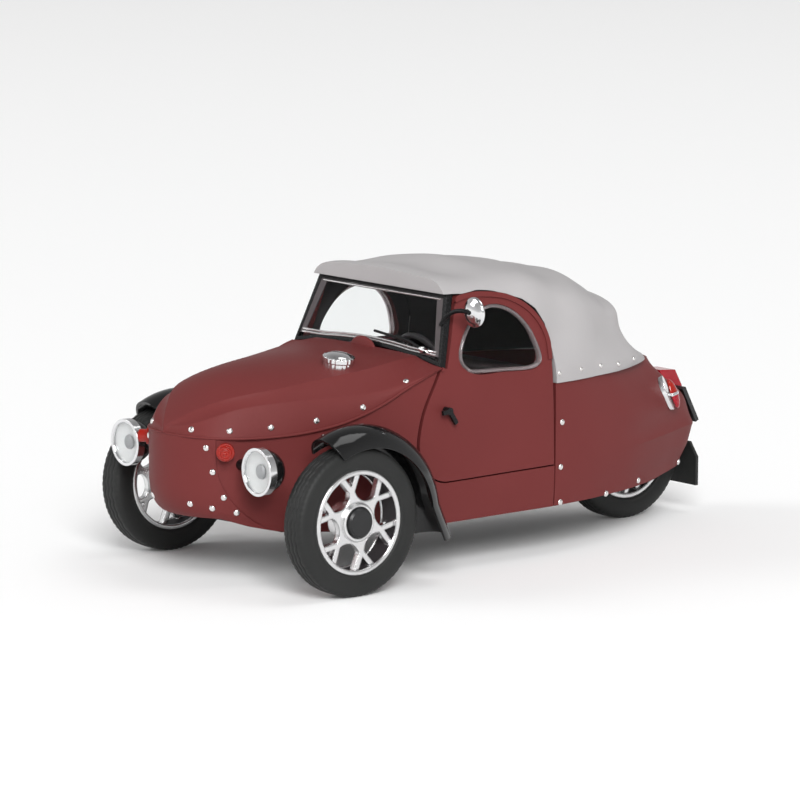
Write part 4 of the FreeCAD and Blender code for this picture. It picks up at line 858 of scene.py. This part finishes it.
# Front indicators: stepped lamps of clear orange-red plastic on the nose's corners, each with a
# ribbed end: a ring and a small boss standing on its face.
AMBER = ((0.50, 0.022, 0.010), (0.40, 0.014, 0.008))
INDICATOR_TURN = math.radians(39.7)
INDICATOR_AIM = (math.cos(INDICATOR_TURN), -math.sin(INDICATOR_TURN), 0)
RING_SIDES = 32
BOSS_SIDES = 24
END_REACH = 0.02 * MM
RING_PROFILE = ((-0.05, 0.52), (0.06, 0.50), (0.09, 0.45), (0.06, 0.40), (-0.05, 0.38))
BOSS_PROFILE = ((-0.05, 0.20), (0.04, 0.19), (0.09, 0.12), (0.11, 0.04))

amber = surface("amber_plastic", AMBER, (0.08, 0.14), 2, 0.2, 0.002, 0.08,
                Transmission_Weight=0.35, IOR=1.45)


def end_middle(places, aim):
    """Middle of the corners that lie furthest along an aim."""
    reach = places @ np.array(aim)
    end = places[reach > reach.max() - END_REACH]
    return (end.max(axis=0) + end.min(axis=0)) / 2


dressed("front_indicators", "indicator_bodies", amber)
left = corners_of(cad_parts["front_indicators"].data)
tip = end_middle(left[left[:, 0] > 0], INDICATOR_AIM)
for name, profile, sides, looped in (("indicator_rings", RING_PROFILE, RING_SIDES, True),
                                     ("indicator_bosses", BOSS_PROFILE, BOSS_SIDES, False)):
    grids = spun(np.array(profile) * MM, tip, INDICATOR_AIM, sides)
    made(name, both_sides(grids), amber, looped=looped)


# Windscreen: a thin black frame leaning back, a clear pane whose thick moulded edge shows inside
# it as a grey translucent band, and thin silver tubes along its foot and head that are painted
# highlights of that edge.
SATIN_BLACK = ((0.0060, 0.0060, 0.0065), (0.0090, 0.0090, 0.0095))
FLANGE_GREY = ((0.150, 0.125, 0.130), (0.100, 0.085, 0.090))
PAINTED_HIGHLIGHT_SILVER = ((0.86, 0.84, 0.84), (0.78, 0.76, 0.76))
FLANGE_SIDE = 0.85 * MM
FLANGE_HEAD = 0.24 * MM
FLANGE_FOOT = 0.30 * MM
FLANGE_DEPTH = 0.10 * MM
HIGHLIGHT_RADIUS = 0.11 * MM
HIGHLIGHT_LIFTS = (0.14 * MM, 0.42 * MM)
HIGHLIGHT_INSET = 0.5 * MM
HIGHLIGHT_SIDES = 10
HEAD_HIGHLIGHT_RADIUS = 0.06 * MM
HEAD_HIGHLIGHT_INSET = 0.3 * MM
HEAD_HIGHLIGHT_SIDES = 8
FOOT_POINTS = 17
STRAIGHT_SHARE = 0.55
PANE_EDGE = 0.05 * MM
PANE_MIDDLE = 1.2 * MM

satin_black = surface("satin_black", SATIN_BLACK, (0.22, 0.32), 3, 0.15, 0.003, 0.06,
                      Specular_IOR_Level=0.2)
flange_grey = surface("flange_grey", FLANGE_GREY, (0.08, 0.14), 1.5, 0.5, 0.004,
                      Transmission_Weight=0.35)
# Bright silver for the thin tubes along the pane's foot and head: painted highlights of its edge.
painted_highlight_silver = surface("painted_highlight_silver", PAINTED_HIGHLIGHT_SILVER, (0.14, 0.22), 2, 0.2, 0.001, Metallic=0.9)
dressed("windscreen_frame", "screen_frame", satin_black)
dressed("windscreen_glass", "screen_pane", clear_glass)
pane = corners_of(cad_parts["windscreen_glass"].data)
pane_high = pane.max(axis=0)
head = pane[pane[:, 2] > pane_high[2] - PANE_EDGE]
foot_half = pane_high[0]
head_half = head[:, 0].max()
head_front = head[np.argmin(head[:, 1])]
foot_corner = pane[pane[:, 0] > foot_half - PANE_EDGE]
foot_corner = foot_corner[np.argmin(foot_corner[:, 1])]
foot_middle = pane[np.abs(pane[:, 0]) < PANE_MIDDLE]
crown = foot_middle[:, 2].min() - foot_corner[2]
rise = np.array([0, head_front[1] - foot_corner[1], head_front[2] - foot_corner[2]])
height = np.linalg.norm(rise)
rise /= height
outward = np.array([0, -rise[2], rise[1]])


def on_screen(across, up, out):
    """Points in front of the pane: across the car, up its slope and out along its normal."""
    across, up, out = np.broadcast_arrays(across, up, out)
    start = np.array([0, foot_corner[1], foot_corner[2]])
    return (start + across[..., None] * np.array([1, 0, 0]) + up[..., None] * rise
            + out[..., None] * outward)


def foot_line(inset, lift):
    """
    Across and up along the pane's bowed foot: the crown times one minus the square across, and
    never less than a share of the crown.
    """
    across = np.linspace(-1, 1, FOOT_POINTS)
    bowed = crown * (1 - across ** 2)
    return across * (foot_half - inset), np.maximum(bowed, STRAIGHT_SHARE * crown) + lift


def screen_loop(side, head_drop, lift):
    """Across and up once round the pane, inset at the sides, the head and the foot."""
    across, up = foot_line(side, lift)
    return (np.concatenate([across, [head_half - side, -head_half + side]]),
            np.concatenate([up, [height - head_drop, height - head_drop]]))


def foot_highlight(lift):
    """Round painted highlight along the foot: a circle, its cosine up the slope and its sine out
    of it.
    """
    across, up = foot_line(HIGHLIGHT_INSET, lift)
    bend = full_turn(HIGHLIGHT_SIDES)
    return on_screen(across[:, None] + 0 * bend,
                     up[:, None] + HIGHLIGHT_RADIUS * np.cos(bend),
                     HIGHLIGHT_RADIUS * (1 + np.sin(bend)) + 0 * up[:, None])


outer = screen_loop(0.0, 0.0, 0.0)
inner = screen_loop(FLANGE_SIDE, FLANGE_HEAD, FLANGE_FOOT)
ring = np.stack([on_screen(*outer, 0.0), on_screen(*outer, FLANGE_DEPTH),
                 on_screen(*inner, FLANGE_DEPTH), on_screen(*inner, 0.0)], axis=1)
made("screen_flange", ring[None], flange_grey, looped=True)
# Thin silver tubes along the foot and the head: painted highlights of the pane's thick edge.
foot_highlights = np.stack([foot_highlight(lift) for lift in HIGHLIGHT_LIFTS])
made("screen_painted_highlights", foot_highlights, painted_highlight_silver)
across = np.linspace(-1, 1, FOOT_POINTS) * (head_half - HEAD_HIGHLIGHT_INSET)
head_highlight_line = on_screen(across, height - 0.5 * FLANGE_HEAD, FLANGE_DEPTH)
made("screen_head_painted_highlight", tubes(head_highlight_line[None], HEAD_HIGHLIGHT_RADIUS, HEAD_HIGHLIGHT_SIDES),
     painted_highlight_silver)


# Hump: a small dome of body paint cast on the bonnet's end, standing against the foot of the
# screen in front of the painted highlights along its foot.
HUMP_HALF_WIDTH = 1.90 * MM
HUMP_HALF_DEPTH = 0.40 * MM
HUMP_RISE = 1.20 * MM
HUMP_FOOT = 0.24 * MM
HUMP_AHEAD = 0.60 * MM
HUMP_STEPS = 9
HUMP_SIDES = 36
HUMP_TOP_SHARE = 0.97


def half_egg(middle, foot):
    """
    Half an egg on a level foot: ellipses whose half axes shrink by the cosine of an angle while
    they rise by its sine.
    """
    angle = np.linspace(0, HUMP_TOP_SHARE * np.pi / 2, HUMP_STEPS)[None, :, None]
    around = full_turn(HUMP_SIDES)[None, None, :]
    return np.stack([HUMP_HALF_WIDTH * np.cos(angle) * np.cos(around),
                     middle + HUMP_HALF_DEPTH * np.cos(angle) * np.sin(around),
                     foot + HUMP_RISE * np.sin(angle) + 0 * around], -1)


hump = half_egg(pane[:, 1].min() - HUMP_AHEAD, pane[:, 2].min() + HUMP_FOOT)
made("screen_hump", hump, paint)


# Wiper: a black blade and arm lying on the screen, held by a bright domed nut on the spindle.
# They are placed just off the pane, where the photograph shows them.
BLADE_PIXELS = ((374.5, 330.5), (391.0, 335.6), (410.0, 342.5))
ARM_PIXELS = ((396.0, 336.0), (409.0, 341.0), (422.5, 349.5))
NUT_PIXELS = ((422.5, 349.5),)
BLADE_RADIUS = 0.13 * MM
BLADE_OUT = 0.45 * MM
ARM_RADIUS = 0.17 * MM
ARM_OUT = 0.62 * MM
ARM_STEPS = 6
ARM_SIDES = 10
NUT_SIDES = 24
NUT_PROFILE = ((-0.55, 0.34), (0.10, 0.34), (0.20, 0.28), (0.34, 0.24), (0.44, 0.14),
               (0.47, 0.05))


def on_pane(pixels, out):
    """Places a little in front of the pane where the camera sees them at the pixels."""
    aims = np.array([tuple(ray) for ray in rays(pixels)])
    eye = np.array(camera_place)
    start = on_screen(0.0, 0.0, out)
    reach = (start - eye) @ outward / (aims @ outward)
    return eye + aims * reach[:, None]


blade = smooth_line(on_pane(BLADE_PIXELS, BLADE_OUT), ARM_STEPS)
arm = smooth_line(on_pane(ARM_PIXELS, ARM_OUT), ARM_STEPS)
nut = spun(np.array(NUT_PROFILE) * MM, on_pane(NUT_PIXELS, ARM_OUT)[0], outward, NUT_SIDES)
made("wiper_blade", tubes(blade[None], BLADE_RADIUS, ARM_SIDES), satin_black)
made("wiper_arm", tubes(arm[None], ARM_RADIUS, ARM_SIDES), satin_black,
     stands_for=("wiper",))
made("wiper_nut", nut, plating)


# Side windows: clear moulded panes pressed into the doors from outside, each with a thick
# rounded edge that stands a little proud and catches the light.
WINDOW_SHARES = (
    (0.331, 0.600), (0.398, 0.568), (0.600, 0.560), (0.807, 0.554), (0.886, 0.574),
    (0.910, 0.616), (0.886, 0.702), (0.849, 0.778), (0.792, 0.844), (0.723, 0.892),
    (0.639, 0.920), (0.560, 0.923), (0.470, 0.895), (0.398, 0.838), (0.337, 0.764),
    (0.301, 0.690), (0.301, 0.640))
SPAN_POINTS = 8
BEAD_CLEAR = ((0.55, 0.47, 0.48), (0.48, 0.40, 0.41))
WINDOW_EDGE_HALF = 0.19 * MM
WINDOW_EDGE_OUT = 0.45 * MM
WINDOW_EDGE_IN = 0.30 * MM
WINDOW_EDGE_SIDES = 16
PANE_WALL = 0.16 * MM
PANE_RINGS = 8
PANE_HEART = 0.04
PANE_REACH = 0.97
SAMPLE_STEP = 6
SAMPLE_REACHES = (0.2, 0.5, 0.75)

bead_clear = surface("bead_clear", BEAD_CLEAR, (0.05, 0.1), 2, 2, 0.001,
                     Transmission_Weight=0.75, IOR=1.5)
low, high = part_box("side_window_left")
shares = np.array(WINDOW_SHARES)
shares = (shares - shares.min(axis=0)) / (shares.max(axis=0) - shares.min(axis=0))
box_low = np.array([low.y, low.z])
box_size = np.array([high.y, high.z]) - box_low
loop = smooth_line(box_low + shares * box_size, SPAN_POINTS, closed=True)
window_middle = loop.mean(axis=0)
tree = skin_of(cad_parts["side_window_left"].data)
arms = loop[::SAMPLE_STEP] - window_middle
samples = np.concatenate([window_middle + reach * arms for reach in SAMPLE_REACHES])
found = []
for y, z in samples:
    hit = tree.ray_cast(Vector((high.x + MM, y, z)), Vector((-1, 0, 0)))
    found.append((hit[0].x, y, z))
found = np.array(found)


def bowl_terms(y, z):
    """Terms of a second-degree surface over the side view, about the window's middle."""
    v, w = y - window_middle[0], z - window_middle[1]
    return np.stack([np.ones_like(v), v, w, v * v, v * w, w * w], axis=-1)


fit = np.linalg.lstsq(bowl_terms(found[:, 1], found[:, 2]), found[:, 0], rcond=None)[0]


def window_points(flat, out):
    """Points on the pane's surface over places in the side view, moved out sideways."""
    x = bowl_terms(flat[..., 0], flat[..., 1]) @ fit + out
    return np.stack([x, flat[..., 0], flat[..., 1]], axis=-1)


def pane_skin():
    """
    Pane: the outline scaled about its middle, growing over the outer face and shrinking again
    over the inner face, a wall further in.
    """
    scale = np.linspace(PANE_HEART, PANE_REACH, PANE_RINGS)
    scale = np.concatenate([scale, scale[::-1]])[:, None, None]
    depth = np.repeat((0, -PANE_WALL), PANE_RINGS)[:, None]
    return window_points(window_middle + scale * (loop - window_middle), depth)


def edge_skin():
    """
    Rounded edge: an ellipse carried round the outline, by the cosine of an angle inwards from it
    and by the sine sideways out of the door.
    """
    ahead = unit(np.roll(loop, -1, axis=0) - np.roll(loop, 1, axis=0))
    inwards = np.stack([-ahead[:, 1], ahead[:, 0]], axis=-1)
    inwards *= np.sign(((window_middle - loop) * inwards).sum())
    turn = full_turn(WINDOW_EDGE_SIDES)
    centre_line = loop + inwards * WINDOW_EDGE_HALF
    across = (WINDOW_EDGE_HALF * np.cos(turn))[None, :, None]
    middle_out = (WINDOW_EDGE_OUT - WINDOW_EDGE_IN) / 2
    half_out = (WINDOW_EDGE_OUT + WINDOW_EDGE_IN) / 2
    return window_points(centre_line[:, None] + inwards[:, None] * across,
                         middle_out + half_out * np.sin(turn)[None])


for side, sign in (("left", 1), ("right", -1)):
    flip = (sign, 1, 1)
    made(side + "_window_pane", pane_skin()[None] * flip, clear_glass,
         stands_for=("side_window_" + side,))
    made(side + "_window_bead", edge_skin()[None] * flip, bead_clear,
         looped=True)


# Folding top: one hard moulding in matt pale grey, shaped like cloth over its bows, its inside
# faces dark as painted shade, and a row of bright studs along its hem.
TOP_GREY = ((0.415, 0.400, 0.403), (0.375, 0.362, 0.365))
TOP_INSIDE_SHADE = ((0.034, 0.031, 0.032), (0.046, 0.042, 0.043))
HEM_HEIGHT = 1.2 * MM
HEM_FADE = 4.0 * MM
NOTCH_PLACE = 18.0 * MM
NOTCH_WIDTH = 0.9 * MM
NOTCH_DEPTH = 0.70 * MM
NOTCH_LEAN = 0.18
FOLD_PITCH = 6.5 * MM
FOLD_DEPTH = 0.30 * MM
FOLD_LEAN = 0.25
FOLD_OUT_WEIGHTS = (1, 0.4, 1)
INSIDE_SHADE_WEIGHTS = (1, 0.35, 1)
TAIL_START = 12.0 * MM
TAIL_FADE = 6.0 * MM
WAIST_HEIGHT = 21.0 * MM
WAIST_REACH = 1.8 * MM
WAIST_DEPTH = 0.60 * MM
FLARE_HEIGHT = 17.5 * MM
FLARE_REACH = 1.2 * MM
FLARE_DEPTH = 0.62 * MM
STUD_RADIUS = 0.24 * MM
STUD_HEIGHT = 0.15 * MM
STUD_PIXELS = ((559.4, 373.1), (581.2, 369), (600.7, 365.6), (618.6, 364), (633.6, 358.7))

low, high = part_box("soft_top")
top_heart = np.array([0, (low.y + high.y) / 2, low.z])


def draped(places):
    """
    Cloth-like folds pressed into the moulding. A groove crosses the roof at the last bow, a bell
    curve along the car. Hollows follow the bows ahead of it, as one minus the cosine of the way
    along. Both fade towards the hem. Two bell curves up the car draw the tail in above its hem
    and flare the hem out.
    """
    x, y, z = places.T
    rise = np.clip((z - low.z - HEM_HEIGHT) / HEM_FADE, 0, 1)
    rise = rise * rise * (3 - 2 * rise)
    bow = np.exp(-((y - NOTCH_PLACE - NOTCH_LEAN * (high.z - z)) / NOTCH_WIDTH) ** 2)
    folds = 0.5 - 0.5 * np.cos(2 * np.pi * (y + FOLD_LEAN * np.abs(x)) / FOLD_PITCH)
    roof = np.clip((NOTCH_PLACE - y) / FOLD_PITCH, 0, 1) * np.clip((y - low.y) / FOLD_PITCH, 0, 1)
    sink = rise * (NOTCH_DEPTH * bow + FOLD_DEPTH * folds * roof)
    out = unit((places - top_heart) * FOLD_OUT_WEIGHTS)
    tail = np.clip((y - TAIL_START) / TAIL_FADE, 0, 1)
    back = unit((places - (0, TAIL_START, 0)) * (1, 1, 0), TINY)
    waist = WAIST_DEPTH * np.exp(-((z - WAIST_HEIGHT) / WAIST_REACH) ** 2)
    flare = FLARE_DEPTH * np.exp(-((z - FLARE_HEIGHT) / FLARE_REACH) ** 2)
    return places - out * sink[:, None] - back * (tail * (waist - flare))[:, None]


top_grey = surface("top_grey", TOP_GREY, (0.68, 0.8), 6, 0.12, 0.012, 0.10,
                   Specular_IOR_Level=0.3)
# Dark finish for the top's inside faces: painted shade.
top_inside_shade = surface("top_inside_painted_shade", TOP_INSIDE_SHADE, (0.7, 0.85), 4, 0.2, 0.01)
top = dressed("soft_top", "folding_top", top_grey)
finer(top, 1)
creased(top, EDGE_ANGLE)
move_corners(top.data, draped(corners_of(top.data)))
middles, normals = faces_of(top.data)
towards = (top_heart - middles) * INSIDE_SHADE_WEIGHTS
# Faces that look in towards the top's middle take the dark finish: painted shade.
finish_some_faces(top, (normals * towards).sum(axis=1) > 0, top_inside_shade)
places, normals = seen_on(top.data, STUD_PIXELS)
made("top_studs", both_sides(heads(places, normals, STUD_RADIUS, STUD_HEIGHT, RIVET_SUNK)),
     rivet_silver)


# Fuel cap: a plated screw cap with a low domed top and a scalloped grip, on a short neck. It
# leans outwards with the bonnet under it.
CAP_LEAN = math.radians(9)
CAP_AIM = (math.sin(CAP_LEAN), 0, math.cos(CAP_LEAN))
CAP_DROP = 0.93 * MM
CAP_SIDES = 120
CAP_GRIP_COUNT = 20
CAP_GRIP_DEPTH = 0.045
CAP_GRIP_FROM = 0.9
CAP_PROFILE = ((-0.60, 0.93), (0.02, 0.93), (0.04, 0.97), (0.09, 1.0), (0.50, 1.0), (0.55, 0.96),
               (0.57, 0.84), (0.64, 0.78), (0.76, 0.62), (0.84, 0.42), (0.88, 0.21), (0.89, 0.05))

low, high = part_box("fuel_cap")
cap_radius = (high.y - low.y) / 2
cap_foot = np.array([(low.x + high.x) / 2, (low.y + high.y) / 2, high.z - CAP_DROP])


def scalloped(cap):
    """
    The cap with its grip's rows drawn in towards the axis, by a share of their reach that goes
    round with one plus the cosine of the angle times the number of scallops.
    """
    grip = np.array(CAP_PROFILE)[None, :, None, 1:] > CAP_GRIP_FROM
    wave = 0.5 + 0.5 * np.cos(full_turn(CAP_SIDES) * CAP_GRIP_COUNT)
    spoke = cap - cap_foot
    spoke = spoke - (spoke @ np.array(CAP_AIM))[..., None] * np.array(CAP_AIM)
    return cap - spoke * grip * (CAP_GRIP_DEPTH * wave)[None, None, :, None]


profile = np.array(CAP_PROFILE) * (MM, cap_radius)
made("filler_cap", scalloped(spun(profile, cap_foot, CAP_AIM, CAP_SIDES)), plating,
     stands_for=("fuel_cap",))


# Door mirror: a plated dished head with a stepped rim and a polished face behind, on a bowed
# black arm from the windscreen frame.
MIRROR_SIDES = 56
MIRROR_PROFILE = ((0.0, 0.10), (0.02, 0.28), (0.08, 0.45), (0.18, 0.62), (0.33, 0.77),
                  (0.50, 0.86), (0.52, 0.90), (0.62, 0.965), (0.74, 1.0), (0.92, 1.0),
                  (1.0, 0.96), (1.0, 0.90), (0.95, 0.87), (0.95, 0.05))

low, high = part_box("mirror_head")
mirror_radius = (high.x - low.x) / 2
mirror_depth = high.y - low.y
mirror_middle = Vector(((low.x + high.x) / 2, low.y, (low.z + high.z) / 2))
dish_profile = np.array(MIRROR_PROFILE) * (mirror_depth, mirror_radius)
made("mirror_dish", spun(dish_profile, mirror_middle, (0, 1, 0), MIRROR_SIDES), plating,
     stands_for=("mirror_head",))
dressed("mirror_arm", "mirror_stalk", satin_black)


# Door handles: black levers with a short cross arm, pushed into the doors, in the same satin
# black as the windscreen frame.
dressed("door_handles", "door_levers", satin_black)


# Tail lamps: upright plated ovals on the tail's corners. A plated band parts each lens: clear
# orange plastic above it and crimson below. The stop lamp is a crimson wedge over the plate.
CRIMSON = ((0.48, 0.004, 0.020), (0.36, 0.003, 0.014))
LENS_AIM = (0.7092, 0.6165, 0.3420)
LENS_HALF_LENGTH = 1.56 * MM
LENS_HALF_WIDTH = 0.90 * MM
LENS_BULGE = 0.62 * MM
BAND_HALF = 0.14 * MM
BAND_PROUD = 1.07
LENS_STEPS = 12
LENS_SIDES = 24
LENS_END_SHARE = 1.01
LENS_SUNK = 0.05 * MM

crimson = surface("crimson_plastic", CRIMSON, (0.06, 0.12), 2, 0.2, 0.002, 0.10,
                  Transmission_Weight=0.3, IOR=1.45)
dressed("tail_lamp_bases", "tail_lamp_plates", plating)
aim = np.array(LENS_AIM)
base = corners_of(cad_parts["tail_lamp_bases"].data)
base = base[base[:, 0] > 0]
lens_root = end_middle(base, LENS_AIM)
lens_side = unit(np.cross((0, 0, 1), aim))
lens_up = np.cross(aim, lens_side)


def lens_part(start, end, proud):
    """
    Slice of a half egg on the lamp's face between two heights: at each height a half ellipse,
    whose half width and bulge fall with the root of one minus the square of the height.
    """
    height = np.linspace(start, end, LENS_STEPS)[:, None]
    full = np.sqrt(1 - (height / (LENS_HALF_LENGTH * LENS_END_SHARE)) ** 2) * proud
    turn = np.linspace(0, np.pi, LENS_SIDES)[None, :]
    across = (LENS_HALF_WIDTH * full * np.cos(turn))[..., None]
    out = (LENS_BULGE * full * np.sin(turn) - LENS_SUNK)[..., None]
    return lens_root + lens_side * across + aim * out + lens_up * height[..., None]


for name, start, end, proud, finish, slot, stands_for in (
        ("tail_lamp_amber", BAND_HALF, LENS_HALF_LENGTH, 1.0, amber, "amber_lens", ()),
        ("tail_lamp_band", -BAND_HALF, BAND_HALF, BAND_PROUD, plating, "chrome_plating", ()),
        ("tail_lamp_crimson", -LENS_HALF_LENGTH, -BAND_HALF, 1.0, crimson, "red_lens",
         ("tail_lamp_lenses",))):
    made(name, both_sides(lens_part(start, end, proud)[None]), finish, stands_for=stands_for)
dressed("stop_lamp", "stop_wedge", crimson)


# Number plate and mud flap: a blank black plate with a raised edge on the tail, and a flap of
# the tyres' black rubber behind the rear wheel.
PLATE_BLACK = ((0.012, 0.012, 0.013), (0.018, 0.018, 0.019))

plate_black = surface("plate_black", PLATE_BLACK, (0.3, 0.42), 2, 0.15, 0.004, 0.06)
dressed("number_plate", "blank_plate", plate_black)
dressed("mud_flap", "rubber_flap", rubber)
